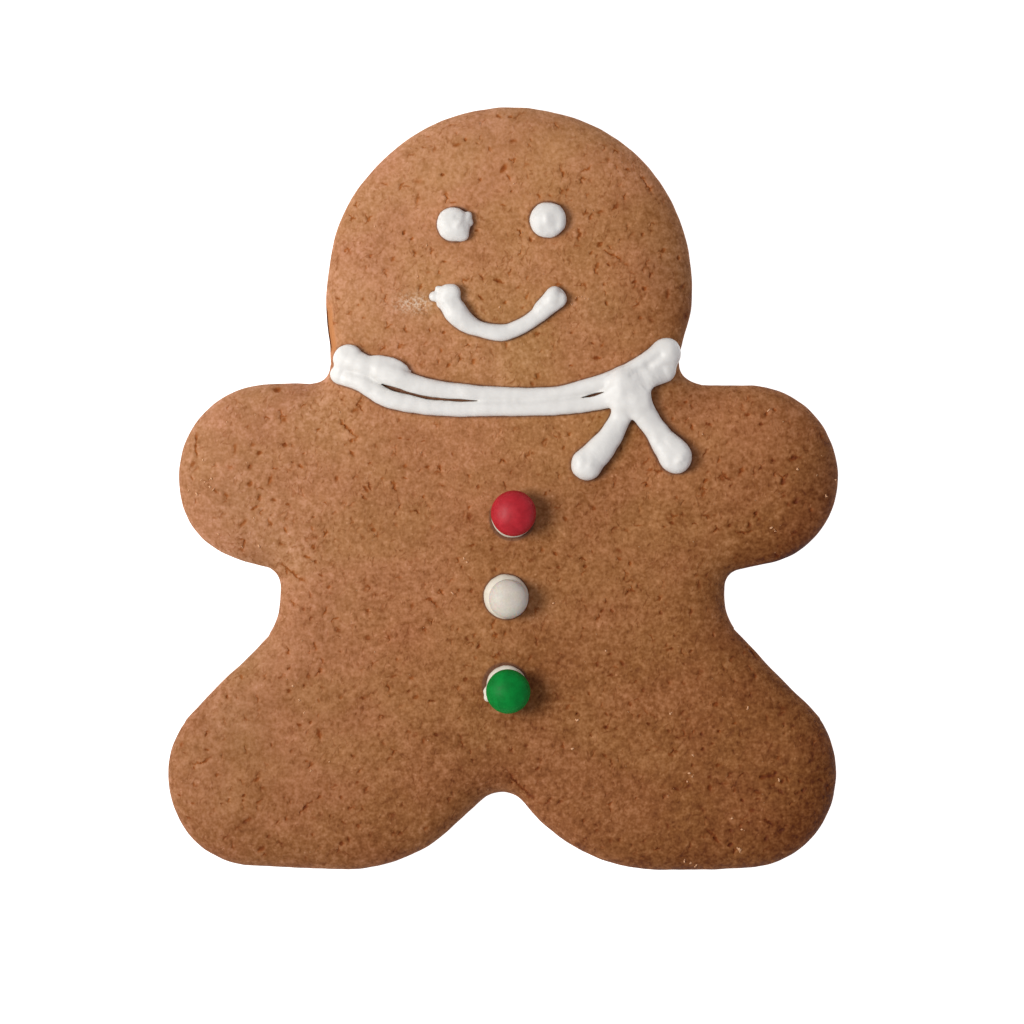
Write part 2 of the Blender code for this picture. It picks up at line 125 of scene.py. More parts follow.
# Larger pores: x, y, length, width, angle in degrees, depth from 0 to 1.
PORES = [
    (16.1, 43.1, 0.9, 0.5, 45, 0.7), (17.1, 42.5, 0.8, 0.35, 60, 0.5),
    (18.4, 37.4, 0.8, 0.35, 80, 0.7), (18.9, 33.9, 0.9, 0.55, -65, 0.6),
    (-25.1, -0.1, 1.3, 0.6, -50, 0.9), (-27.7, 6.5, 1.3, 0.55, -55, 0.8),
    (-36, -12.5, 1.4, 0.5, -15, 0.7), (-33.3, -15.9, 1, 0.4, -30, 0.6),
    (-34.6, -9, 1.6, 1, 0, 0.3), (-18.9, 9.2, 0.8, 0.35, -5, 0.6),
    (-17.4, 8.9, 0.7, 0.35, 0, 0.6), (-14.6, 8.7, 0.8, 0.35, -5, 0.6),
    (-18, 1.9, 1.1, 0.4, -20, 0.6), (0.1, 58.6, 1.8, 0.9, 60, 1), (1, 56.9, 1.3, 0.5, -60, 0.7),
    (-11.1, 57.4, 0.7, 0.5, 20, 0.9), (-8.4, 62.9, 1.5, 0.7, 20, 0.6),
    (-6.9, 63.8, 0.7, 0.5, -50, 0.7), (-0.8, 68.2, 1.1, 0.5, -30, 0.7),
    (1.9, 63.6, 1.3, 0.7, 20, 0.5), (-15.7, 53.1, 2.6, 0.5, 80, 0.45),
    (-21.8, 55.8, 2, 0.5, -12, 0.5), (-15.6, 56.2, 1.8, 0.9, -10, 0.35),
    (-18.2, 46.7, 0.7, 0.5, -50, 0.8), (-16.7, 45.7, 0.7, 0.5, 20, 0.8),
    (-20.2, 42, 0.9, 0.7, 60, 0.5), (-24.3, 42.6, 0.7, 0.5, 40, 0.6),
    (-0.8, 37.9, 2, 0.5, -18, 1), (-11.7, 39.6, 0.7, 0.4, -70, 0.6),
    (-4.2, 56.6, 0.7, 0.5, 0, 0.6), (-2.5, 62.1, 1.1, 0.5, -70, 0.5),
    (-9.2, 52.3, 1.3, 0.4, 5, 0.5), (-4.1, 34.9, 1.3, 0.5, -50, 0.9),
    (0.3, 34.1, 0.9, 0.5, 40, 0.8), (2.7, 36.8, 0.9, 0.4, 50, 0.5),
    (4.3, 35.1, 1.1, 0.5, 85, 0.5), (4.3, 38.5, 0.7, 0.4, 80, 0.5),
    (17.2, 40.8, 1.1, 0.7, 70, 0.7), (-10.9, 28.5, 0.7, 0.5, 0, 0.6),
    (-19, 26, 0.9, 0.5, 70, 0.5), (-10.9, 28.6, 0.7, 0.5, 0, 0.5),
    (-11.4, 25.2, 0.9, 0.5, 60, 0.5), (-5.4, 23.3, 1.1, 0.7, 70, 0.7),
    (-11.8, 23.2, 0.9, 0.5, 80, 0.5), (-27.1, 14.3, 1.5, 0.7, 20, 0.5),
    (17.1, 23.9, 1.5, 0.5, 0, 0.9), (12.4, 22.5, 0.7, 0.5, 0, 0.7),
    (18.1, 26.2, 1.1, 0.5, 60, 0.5), (33.4, 15.8, 0.7, 0.5, 0, 0.7),
    (34.5, 11.3, 0.9, 0.5, 80, 0.8), (37.1, 1.4, 0.9, 0.5, 70, 0.8),
    (31, 12.8, 0.7, 0.5, 70, 0.5), (27, 3.4, 0.7, 0.5, 40, 0.5), (9.5, -11.9, 0.9, 0.5, -45, 0.9),
    (-7.6, -14.4, 0.7, 0.5, 60, 0.7), (-4.5, -28.9, 0.9, 0.5, 50, 0.9),
    (-6.9, -34.9, 0.9, 0.7, 60, 0.7), (-6.2, -5.2, 1.5, 0.9, 80, 0.6),
    (-2.1, -11.1, 0.9, 0.5, 60, 0.5), (0.3, -26.5, 1.1, 0.5, 75, 0.5),
    (-33.7, -44.9, 1.8, 0.7, -80, 1), (-35.3, -42.9, 0.7, 0.5, 40, 0.7),
    (-37.3, -43.2, 0.9, 0.5, -20, 0.8), (-31, -54.5, 1.6, 0.3, 12, 0.45),
    (-33.8, -56.5, 0.7, 0.5, 60, 0.8), (-54.2, -47.8, 0.9, 0.4, -10, 0.6),
    (-50.5, -38, 0.7, 0.5, 60, 0.8), (-45.1, -53.2, 1.5, 0.5, 35, 0.8),
    (-47.5, -56.2, 0.7, 0.5, 40, 0.8), (-47.7, -57.1, 0.5, 0.5, 0, 0.7),
    (-44.7, -57.3, 1.6, 0.4, 35, 0.7), (-46.9, -60.7, 1.8, 0.5, 30, 0.8),
    (-41.3, -61, 0.9, 0.5, 60, 0.8), (-43, -63.7, 0.9, 0.5, 50, 0.7),
    (-44.4, -66.1, 1.5, 0.7, 40, 1), (-28.3, -64.2, 1.1, 0.5, -70, 0.7),
    (-29.6, -65, 0.9, 0.7, 0, 0.9), (-26.6, -61.7, 0.7, 0.5, 0, 0.7),
    (-31.7, -59.9, 0.7, 0.5, 60, 0.6), (-27.5, -48.9, 0.7, 0.7, 0, 0.6),
    (-26.4, -51.7, 0.9, 0.5, 30, 0.7), (-26.7, -53.7, 0.7, 0.5, 0, 0.6),
    (-59.3, -56.2, 0.7, 0.5, -20, 0.8), (-56.8, -57.7, 0.7, 0.5, 0, 0.6),
    (25.8, 36.6, 0.9, 0.7, -30, 1), (30.1, 35.5, 1.8, 0.7, 85, 0.6),
    (32.1, 42.2, 0.9, 0.5, 85, 0.8), (25.5, 46.5, 0.7, 0.5, -30, 0.8),
    (33.5, 31.7, 1.3, 0.5, 80, 0.7), (34.5, 15.1, 0.7, 0.5, -20, 0.5),
    (34.5, 11.4, 0.7, 0.4, 80, 0.6), (48.2, 13.7, 0.9, 0.4, 80, 0.6),
    (47.2, 11.8, 0.7, 0.5, -10, 0.8), (44.7, 13.5, 1.1, 0.5, 15, 0.7),
    (43.5, 3.2, 2, 0.5, 62, 0.8), (36.9, 1.4, 0.9, 0.5, 60, 0.9), (36.6, -1, 1.5, 0.6, 75, 0.6),
    (46.2, -4.6, 0.6, 0.5, -50, 1), (53.5, -2.4, 0.7, 0.5, 60, 0.9),
    (51.4, -1.4, 0.9, 0.4, 20, 0.7), (30.9, -6.3, 0.8, 0.5, -20, 0.9),
    (29.5, -7, 0.7, 0.5, 0, 0.6), (41.4, -6.8, 0.7, 0.5, 60, 0.8),
    (50, -12.2, 1.1, 0.5, -40, 0.8), (34.4, -22.5, 1.6, 0.5, 85, 0.6),
    (35.8, -17.6, 1.6, 0.5, 80, 0.5), (13.5, -41.3, 0.7, 0.5, 60, 0.9),
    (18.8, -43.7, 0.9, 0.7, 0, 1), (26.6, -43.1, 0.7, 0.5, -45, 0.8),
    (30.3, -44.3, 0.7, 0.5, 0, 0.6), (38.8, -39.5, 1.1, 0.7, 0, 0.9),
    (39.5, -44.4, 0.9, 0.5, -20, 0.7), (42.3, -43, 0.9, 0.5, 0, 0.7),
    (21.8, -32, 1.3, 0.7, -50, 0.7), (19.5, -30.3, 0.7, 0.5, 0, 0.8),
    (30.8, -29.3, 0.7, 0.6, 60, 0.8), (20, -22.4, 0.9, 0.5, -30, 0.7),
    (28.8, -22.7, 0.7, 0.5, 75, 0.6), (34.4, -29.7, 0.7, 0.5, 60, 0.6),
    (38.5, -26.9, 0.7, 0.5, 0, 0.6), (23.2, -13.7, 0.9, 0.5, -70, 0.8),
    (15, -14.3, 0.7, 0.5, 0, 0.8), (10, -14.4, 0.7, 0.5, 0, 0.7),
    (25.6, -36.9, 0.7, 0.5, 75, 0.6), (-41.4, 18.1, 1.1, 0.9, 20, 1),
    (24, 37.8, 0.9, 0.5, 30, 0.9), (39.8, 2.3, 1.3, 0.4, 40, 0.7), (25.5, 56.9, 0.7, 0.5, 0, 0.6),
    (-33.7, -56.5, 1.1, 0.4, 40, 0.6), (-44.7, 6.5, 1, 0.7, 20, 0.9),
    (-46.4, 0.8, 1.1, 0.8, 45, 0.8), (-42.7, 1.6, 2, 0.6, 75, 0.8),
    (-40.1, 12.6, 1.2, 0.8, 30, 0.6), (-39.9, 8, 0.9, 0.7, 20, 0.9),
    (-49.1, 7.3, 2.4, 0.6, 80, 0.5), (-45.4, -3.5, 1.6, 0.5, 30, 0.8),
    (-47.6, -6.4, 1.8, 0.5, 50, 0.7), (-52.7, -0.4, 1.6, 0.5, -50, 0.6),
    (-42, -2.1, 0.9, 0.6, 0, 0.7), (-39.9, -7.6, 1.2, 0.5, -60, 0.7),
    (-40.6, -10.2, 1.2, 0.5, -20, 0.6), (-50, 3.9, 1.4, 0.9, 0, 0.35),
    (53.1, 5.5, 1.7, 0.7, 15, 1), (51.2, 1.4, 1.7, 0.7, 85, 0.9), (53.5, -2.4, 0.9, 0.8, 0, 1),
    (46.2, -4.5, 0.9, 0.6, 30, 1), (48.4, -52.6, 3, 0.8, 5, 0.8), (47.3, -52.9, 0.9, 0.8, 0, 0.9),
    (49.8, -52.2, 0.9, 0.7, 60, 0.8), (51.1, -53.6, 1, 0.6, 70, 0.8),
    (50.7, -55.4, 1.7, 0.6, -42, 0.6), (46.6, -55.6, 1.5, 0.5, -20, 0.6),
    (46.6, -56.8, 1, 0.4, 0, 0.5), (43.8, -57.1, 0.8, 0.5, -30, 0.8),
    (45.5, -58.9, 1.1, 0.7, 10, 0.7), (39.2, -50.7, 1, 0.7, 0, 0.7),
    (37.7, -52.8, 0.9, 0.6, 0, 0.7), (37.8, -54.8, 1.3, 0.7, 85, 0.8),
    (40, -54, 2.4, 0.4, 0, 0.5), (42.3, -55.3, 0.9, 0.4, 90, 0.5),
    (38.9, -64.2, 1.6, 0.6, -52, 1), (37.8, -62.9, 1.6, 0.5, -52, 0.7),
    (41.6, -65.2, 0.9, 0.8, 0, 1), (41.6, -62.6, 0.8, 0.7, 0, 0.6),
    (43.4, -61.7, 1, 0.5, 80, 0.7), (44.8, -61.1, 0.7, 0.4, 0, 0.6),
    (51.7, -61.7, 1, 0.5, 0, 0.6), (48.1, -64, 1.2, 0.5, 75, 0.6),
    (36.4, -58.7, 1.9, 0.8, -55, 0.4),
]
# Cracks, as lines of places.
CRACKS = [
    [(18.3, 43.8), (19.4, 43), (20.7, 42.5), (21.7, 41.7)], [(18.2, 45.1), (17.3, 44.2)],
    [(16.6, 40.5), (17, 39.6), (17.4, 39)],
    [(-14.6, -20.4), (-13.4, -20.1), (-12.6, -20.9), (-11.8, -21.7)],
    [(-40.6, -13.6), (-39.2, -14.9), (-37.6, -16.3), (-36, -17.1)],
    [(-17, -4.2), (-15.9, -4), (-15.2, -4.7)], [(47.8, -60.5), (48.6, -60.9), (49.4, -61.7)],
    [(-56.3, 10.4), (-56.2, 8.6), (-56.4, 7.2), (-55.9, 5.8)],
    [(-48.4, -9.1), (-47.3, -9.4), (-47.8, -11.3)],
    [(0.7, -51.4), (1.4, -52.5), (1.9, -53.4), (3.1, -54.5), (4.6, -55.9), (5.9, -57.1)],
    [(-37.4, -59.6), (-36.6, -58.7), (-36, -58), (-34.8, -57.2)],
    [(-56.8, -50.4), (-55.4, -50.3), (-54.5, -49.8), (-53.5, -49.2)],
    [(-34.5, -34.5), (-33.9, -33.8), (-33, -32.9)], [(-29.9, 12.7), (-28.6, 11.1), (-26.9, 9.3)],
    [(25.5, 56.9), (26.3, 55.6), (27.3, 54.2)], [(52.4, 5.1), (53.1, 5.6), (54.5, 5.8)],
    [(50.5, 2.7), (51.3, 1.8), (51.2, 0.7)], [(51.3, 1.8), (52.1, 2.7)],
    [(39.3, 1.5), (40.5, 2.2), (41.9, 1.5)], [(38.1, -62.6), (38.7, -63.7), (39.4, -64.4)],
    [(42.3, -7.8), (44.2, -8.1), (46, -7.6)], [(44.3, -28.7), (45.6, -30), (46.5, -31.4)],
]
# Pale flour specks: x, y, size.
SPECKS = [
    (13.3, 34.9, 0.24), (13.8, 35.1, 0.26), (14.4, 35.1, 0.24), (15, 34.8, 0.26),
    (15.6, 34.7, 0.24), (41.9, -60.4, 0.44), (43.7, -62.4, 0.44), (50.5, -53.4, 0.44),
    (43.2, -66, 0.65), (34.7, -48.8, 0.44), (-55, 5.2, 0.44), (-53.4, 1.8, 0.56),
    (-56.1, -1, 0.56), (-57.6, -0.3, 0.32), (-44.7, -10.5, 0.56), (-50.6, 12.2, 0.32),
    (-45.4, 13.5, 0.32), (-46.9, 4.7, 0.25), (-45.6, -5.4, 0.32), (-52.2, -8.3, 0.32),
    (-47.8, -10.7, 0.32), (-22.3, 47.5, 0.32), (-14, 44.5, 0.32), (-15.6, 38.8, 0.32),
    (1.9, 55.8, 0.32), (-23.5, 48, 0.32), (-0.7, 33.2, 0.44), (12.6, 33.7, 0.44),
    (-2.6, 28.5, 0.32), (36.5, 9.9, 0.44), (-6.6, -13.5, 0.56), (-7.2, -12.8, 0.44),
    (9.2, -21, 0.44), (-37.3, -38.7, 0.44), (-36.5, -41.1, 0.44), (-38.5, -36.1, 0.44),
    (-31.8, -50, 0.32), (-35.2, -51.7, 0.32), (48.6, 14.3, 0.56), (53.9, 3.5, 0.44),
    (59.2, -1.4, 0.44), (60.9, 1.6, 0.44), (13.6, -42.4, 0.56), (12.7, -47.6, 0.56),
    (44.8, -40.1, 0.56), (30.6, -41.2, 0.44), (18.8, -29.7, 0.44), (34.1, -52.1, 0.56),
    (33.7, -53.6, 0.44), (34.6, -52.7, 0.44), (33.2, -68.3, 0.44), (34.3, -68.6, 0.44),
    (35.4, -69, 0.44), (43.4, -66.2, 0.44), (-54.6, 1.2, 0.44), (-53.7, 0.3, 0.44),
    (-53, -0.1, 0.32), (-55.3, 1.6, 0.32), (-9.3, -19.1, 0.44), (49.1, -7.2, 0.44),
    (49.8, -7.8, 0.32),
]
# How many smaller pores, tears and crumbs are scattered between these.
PORE_COUNT, TEAR_COUNT, CRUMB_COUNT = 250, 430, 120
PORE_DEPTH = 0.36  # of a pore of depth 1
TEAR_STEP = 0.34  # between the elongated pores that a tear is made of
CRACK_STEP = 0.24
# Mesh points of the top: how far in the rings near the outline lie, how far apart the points
# are inside them, and how far apart the points of pores and edges of icing are at least.
RING_INSETS = (0.1, 0.28, 0.55, 0.95, 1.45)
TOP_SPACING = 0.60
DETAIL_SPACING = 0.11

# ---------------------------------------------------------------- noise and small helpers

LATTICE_SHIFT = 31.7  # moves the lattice, so that no line of it lies on x = 0 or y = 0
SLOPES = 4096  # how many random slopes the lattice picks from
BLOCK = 4000  # points that are measured at once


def lattice(points, size, seed):
    """Smooth noise, about -1 to 1, with lumps about this far apart. Points are 2-D or 3-D."""
    points = np.asarray(points, float) / size + LATTICE_SHIFT
    width = points.shape[1]
    slopes = np.random.default_rng(seed).normal(size=(SLOPES, width))
    slopes /= np.linalg.norm(slopes, axis=1)[:, None]
    cell = np.floor(points).astype(np.int64)
    inside = points - cell
    fade = inside**3 * (inside * (inside * 6.0 - 15.0) + 10.0)
    primes = np.array([73856093, 19349663, 83492791])[:width]
    total = np.zeros(len(points))
    for corner in itertools.product((0, 1), repeat=width):
        corner = np.array(corner)
        pick = np.bitwise_xor.reduce((cell + corner) * primes, axis=1) % SLOPES
        weight = np.where(corner, fade, 1.0 - fade).prod(1)
        total += weight * (slopes[pick] * (inside - corner)).sum(1)
    return 1.5 * total


def layered(points, layers, seed):
    """The sum of several noises, each given as (size, height)."""
    return sum(h * lattice(points, size, seed + i) for i, (size, h) in enumerate(layers))


def smoothstep(low, high, value):
    """Goes smoothly from 0 to 1 while the value goes from low to high."""
    t = np.clip((value - low) / (high - low), 0.0, 1.0)
    return t * t * (3.0 - 2.0 * t)


def add_patches(values, points, patches):
    """The values with soft round patches added, each given as (x, y, reach, amount)."""
    for x, y, reach, amount in patches:
        away = np.hypot(points[:, 0] - x, points[:, 1] - y) / reach
        values = values + amount * np.exp(-(away**2))
    return values


def segment_distance(points, starts, ends, radii=None):
    """For each point, the distance to the nearest segment, that segment and the place along it.

    With radii, one for each start and end, nearest means deepest inside that thickness."""
    best = np.full(len(points), np.inf)
    found = np.zeros(len(points), int)
    places = np.zeros(len(points))
    span = ends - starts
    length = (span**2).sum(1)
    for first in range(0, len(points), BLOCK):
        part = slice(first, first + BLOCK)
        dx = points[part, None, 0] - starts[None, :, 0]
        dy = points[part, None, 1] - starts[None, :, 1]
        t = np.clip((dx * span[:, 0] + dy * span[:, 1]) / length, 0.0, 1.0)
        away = np.hypot(dx - t * span[:, 0], dy - t * span[:, 1])
        rank = away if radii is None else away - (radii[0] + t * (radii[1] - radii[0]))
        pick = rank.argmin(1)
        rows = np.arange(len(pick))
        best[part], found[part], places[part] = away[rows, pick], pick, t[rows, pick]
    return best, found, places


def between(values, pick, t):
    """A value that changes evenly from stop to stop, at these places along the segments."""
    return values[pick] + t * (values[pick + 1] - values[pick])


def catmull(stops, samples, cyclic=False):
    """A smooth line through every stop. Stops may hold any number of values."""
    stops = np.asarray(stops, float)
    if cyclic:
        padded = np.concatenate([stops[-1:], stops, stops[:2]])
    else:
        padded = np.concatenate([stops[:1], stops, stops[-1:]])
    t = np.arange(samples)[:, None] / samples
    rows = []
    for a, b, c, d in zip(padded, padded[1:], padded[2:], padded[3:]):
        rows.append(
            0.5 * (-t + 2 * t**2 - t**3) * a
            + 0.5 * (2 - 5 * t**2 + 3 * t**3) * b
            + 0.5 * (t + 4 * t**2 - 3 * t**3) * c
            + 0.5 * (t**3 - t**2) * d
        )
    if not cyclic:
        rows.append(stops[-1:])
    return np.concatenate(rows)


def travelled_along(path):
    """How far along a line each of its points lies."""
    return np.concatenate([[0.0], np.hypot(*np.diff(path, axis=0).T).cumsum()])


def closed_resample(points, spacing):
    """The same closed line with evenly spaced points."""
    loop = np.concatenate([points, points[:1]])
    travelled = travelled_along(loop)
    count = round(travelled[-1] / spacing)
    places = np.arange(count) * travelled[-1] / count
    return np.stack([np.interp(places, travelled, column) for column in loop.T], 1)


def normals_of(loop):
    """Outward directions of a counter-clockwise closed line."""
    along = np.roll(loop, -1, 0) - np.roll(loop, 1, 0)
    along /= np.hypot(*along.T)[:, None]
    return np.stack([along[:, 1], -along[:, 0]], 1)


def make_piece(name, verts, faces, material, node, attributes=None):
    """A smooth-shaded mesh of the part, riding on its only body. Faces may differ in size."""
    mesh = bpy.data.meshes.new(name)
    corners = [face.tolist() for face in faces]
    mesh.from_pydata((verts * MM).tolist(), [], corners, shade_flat=False)
    mesh.validate()
    for key, values in (attributes or {}).items():
        layer = mesh.attributes.new(key, "FLOAT", "POINT")
        layer.data.foreach_set("value", values.astype(np.float32))
    mesh.materials.append(material)
    piece = bpy.data.objects.new(name, mesh)
    bpy.context.scene.collection.objects.link(piece)
    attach(piece, "root")
    if node:
        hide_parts(node)


# ---------------------------------------------------------------- the outline of the cookie


def cad_outline():
    """The ring of corners at the top of the solid's wall, in order, counter-clockwise."""
    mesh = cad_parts["cookie"].data
    corners = np.array([vertex.co for vertex in mesh.vertices]) / MM
    keys = [tuple(row) for row in np.round(corners, 2)]
    level = max(key[2] for key in keys if key[0] < corners[:, 0].min() + 0.01)
    ring = {}
    for edge in mesh.edges:
        a, b = (keys[index] for index in edge.vertices)
        if a != b and a[2] == b[2] == level:
            ring.setdefault(a, set()).add(b)
            ring.setdefault(b, set()).add(a)
    path = [min(ring)]
    path.append(min(ring[path[0]], key=lambda key: key[1]))
    while len(path) < len(ring):
        path.append(next(key for key in ring[path[-1]] if key != path[-2]))
    return np.array(path)[:, :2], level


# Where the baked edge lies a little outside the cut shape, or inside it: place, reach, how far.
BULGES = [
    (-32.6, 20.6, 2.8, -0.75), (-33, 26, 3, -0.35), (32.2, 21.2, 2.8, -0.45),
    (32.6, 28, 3.2, -0.38), (48, -12.8, 4.5, -0.5), (28, 58, 9, 0.36), (20, 65, 7, 0.24),
    (-30.5, 48, 9, 0.36), (-48, -12.5, 4, 0.36), (4.5, -60, 5, 0.32), (11, -65, 4, 0.2),
    (-52, -36, 5, 0.24), (56.5, -41, 5, 0.22), (-55, -67, 6, 0.22), (40, -69, 4, 0.16),
]


def wavy(loop):
    """The outline with the small waves of rolled and cut dough."""
    waves = layered(loop, [(9.0, 0.10), (2.6, 0.06)], SEED + 1)
    return loop + normals_of(loop) * add_patches(waves, loop, BULGES)[:, None]


outline_corners, WALL_TOP = cad_outline()
THICKNESS = box_mm("cookie")[1][2]
OUTLINE = wavy(closed_resample(catmull(outline_corners, 6, cyclic=True), OUTLINE_STEP))
OUTWARD = normals_of(OUTLINE)

# Distance inwards from the outline, on a grid over the whole cookie and a margin round it.
GRID_STEP = 0.5
GRID_MARGIN = 3.0
grid_low = OUTLINE.min(0) - GRID_MARGIN
grid_count = np.ceil((OUTLINE.max(0) + GRID_MARGIN - grid_low) / GRID_STEP).astype(int) + 1


def inset_grid():
    """The distance at every place of the grid: inside where an odd number of edges is crossed."""
    xs, ys = (grid_low[a] + np.arange(grid_count[a]) * GRID_STEP for a in range(2))
    points = np.stack(np.meshgrid(xs, ys, indexing="ij"), -1).reshape(-1, 2)
    ends = np.roll(OUTLINE, -1, 0)
    away, _, _ = segment_distance(points, OUTLINE, ends)
    inside = np.zeros(len(points), bool)
    for (ax, ay), (bx, by) in zip(OUTLINE, ends):
        if ay == by:
            continue
        rows = (ay > points[:, 1]) != (by > points[:, 1])
        inside ^= rows & (points[:, 0] < (bx - ax) * (points[:, 1] - ay) / (by - ay) + ax)
    return np.where(inside, away, -away).reshape(grid_count)


INSET = inset_grid()


def inset_at(points):
    """Distance in from the outline, read from the grid. It is negative outside."""
    place = (np.asarray(points)[:, :2] - grid_low) / GRID_STEP
    place = np.clip(place, 0.0, np.array(grid_count) - 1.001)
    cell = place.astype(int)
    fx, fy = (place - cell).T
    i, j = cell.T
    near = INSET[i, j] * (1 - fy) + INSET[i, j + 1] * fy
    far = INSET[i + 1, j] * (1 - fy) + INSET[i + 1, j + 1] * fy
    return near * (1 - fx) + far * fx


SWELL_DROP = 0.12  # the top lies this much lower, to make room for its swells


def top_profile(inset):
    """Height of the solid's top, which rises from the top of the wall to its full thickness."""
    across = 1.0 - np.clip(inset, 0.0, EDGE_WIDTH) / EDGE_WIDTH
    return WALL_TOP + (THICKNESS - WALL_TOP) * np.sqrt(1.0 - across**EDGE_POWER)


def cookie_top(points, inset=None):
    """Height of the baked surface, without its pores."""
    points = np.asarray(points)[:, :2]
    if inset is None:
        inset = inset_at(points)
    swell = layered(points, [(26.0, 0.16), (9.0, 0.09), (4.2, 0.05)], SEED + 10)
    return top_profile(inset) + swell * smoothstep(0.2, 3.0, inset) - SWELL_DROP


# ---------------------------------------------------------------- icing

BEAD_HEIGHT = 0.72  # of the upper half of a bead, beside half its width
BEAD_POWER = 2.25  # over 2 makes a bead flatter on top and fuller at its shoulders
BEAD_SLOPE = 0.85  # brings the field of its upper half near a true distance
UNDERCUT = 0.5  # how far a bead narrows below its middle
STRAND_BLEND = 0.5  # fillet where two strands meet
SLIT_BLEND = 0.15  # round on the edges of a slit
HOLLOW_BLEND = 0.2  # and on the rim of the cup that a candy sits in
ICING_SINK = 0.25  # how far the icing reaches into the crust


def strand_field(points, stops, seed):
    """For each place on the plane, its distance from a strand's line, and the strand's radius
    and middle height at the nearest place of that line."""
    line = catmull(stops, 12)
    xy = line[:, :2]
    radii = 0.5 * line[:, 2] * (1.0 + layered(xy, [(3.4, 0.045), (1.5, 0.02)], seed))
    middles = cookie_top(xy) + 0.22 * line[:, 2]
    away, pick, t = segment_distance(points, xy[:-1], xy[1:], (radii[:-1], radii[1:]))
    return away, between(radii, pick, t), between(middles, pick, t)


def bead_field(z, flat, middle, radius, height, depth, scale):
    """Distance field of a bead or lump: flat is the distance from its line, seen from above,
    height goes up from its middle and depth down, and scale is its size for the field."""
    above = np.maximum(z - middle, 0.0) / height
    below = np.clip((middle - z) / depth, 0.0, 1.3)
    crown = ((flat / radius) ** BEAD_POWER + above**BEAD_POWER) ** (1.0 / BEAD_POWER)
    waist = radius * np.sqrt(1.0 - UNDERCUT * below**2)
    return np.where(z > middle, BEAD_SLOPE * scale * (crown - 1.0), flat - waist)


def soft_union(a, b, blend):
    """Two distance fields as one, with a fillet of this size where they meet."""
    if a is None:
        return b
    h = np.clip(0.5 + 0.5 * (b - a) / blend, 0.0, 1.0)
    return b + (a - b) * h - blend * h * (1.0 - h)


def icing_field(axes, strands, lumps, presses, slits, lumpiness, seed, hollow):
    """Distance field of the icing on the grid of these axes.

    Strands are lines of stops. A lump is x, y, lift, radius, height and fillet, and a press is
    the two ends of a line, its reach and how far it takes the icing in. Slits are cut through,
    and the form that the icing is hollowed by is a middle and a half size."""
    xs, ys, zs = axes
    plane = np.stack(np.meshgrid(xs, ys, indexing="ij"), -1).reshape(-1, 2)
    floor = cookie_top(plane, np.maximum(inset_at(plane), 0.7))[:, None]
    z = zs[None, :]
    field = None
    for number, stops in enumerate(strands):
        flat, radius, middle = (v[:, None] for v in strand_field(plane, stops, seed + 5 * number))
        depth = np.maximum(middle - floor, 0.3)
        bead = bead_field(z, flat, middle, radius, BEAD_HEIGHT * radius, depth, radius)
        field = soft_union(field, bead, STRAND_BLEND)
    for x, y, lift, radius, height, fillet in lumps:
        middle = cookie_top(np.array([[x, y]]))[0] + lift
        flat = np.hypot(plane[:, 0] - x, plane[:, 1] - y)[:, None]
        scale = min(radius, height)
        lump = bead_field(z, flat, middle, radius, height, max(lift, 0.3), scale)
        field = soft_union(field, lump, fillet)
    # Presses fade out towards the crust.
    above = np.clip((z - floor - 0.5) / 0.6, 0.0, 1.0)
    for x0, y0, x1, y1, reach, depth in presses:
        away, _, _ = segment_distance(plane, np.array([[x0, y0]]), np.array([[x1, y1]]))
        field = field + depth * np.exp(-((away / reach) ** 2))[:, None] * above
    for slit in slits:
        line = catmull(slit, 8)
        away, pick, t = segment_distance(plane, line[:-1, :2], line[1:, :2])
        cut = (away - 0.5 * between(line[:, 2], pick, t))[:, None]
        field = -soft_union(-field, cut, SLIT_BLEND)
    if hollow is not None:
        middle, half = hollow
        across = (((plane - middle[:2]) / half[:2]) ** 2).sum(1)[:, None]
        reach = np.sqrt(across + ((z - middle[2]) / half[2]) ** 2)
        field = -soft_union(-field, (reach - 1.0) * half.min(), HOLLOW_BLEND)
    # The unevenness of dried icing, worked out near its surface alone.
    near = np.abs(field) < 0.5
    row, level = np.nonzero(near)
    places = np.column_stack([plane[row], zs[level]])
    field[near] += layered(places, [(2.8, lumpiness), (1.5, 0.04), (0.8, 0.015)], seed + 60)
    field = np.maximum(field, floor - ICING_SINK - z)
    return field.reshape(len(xs), len(ys), len(zs))


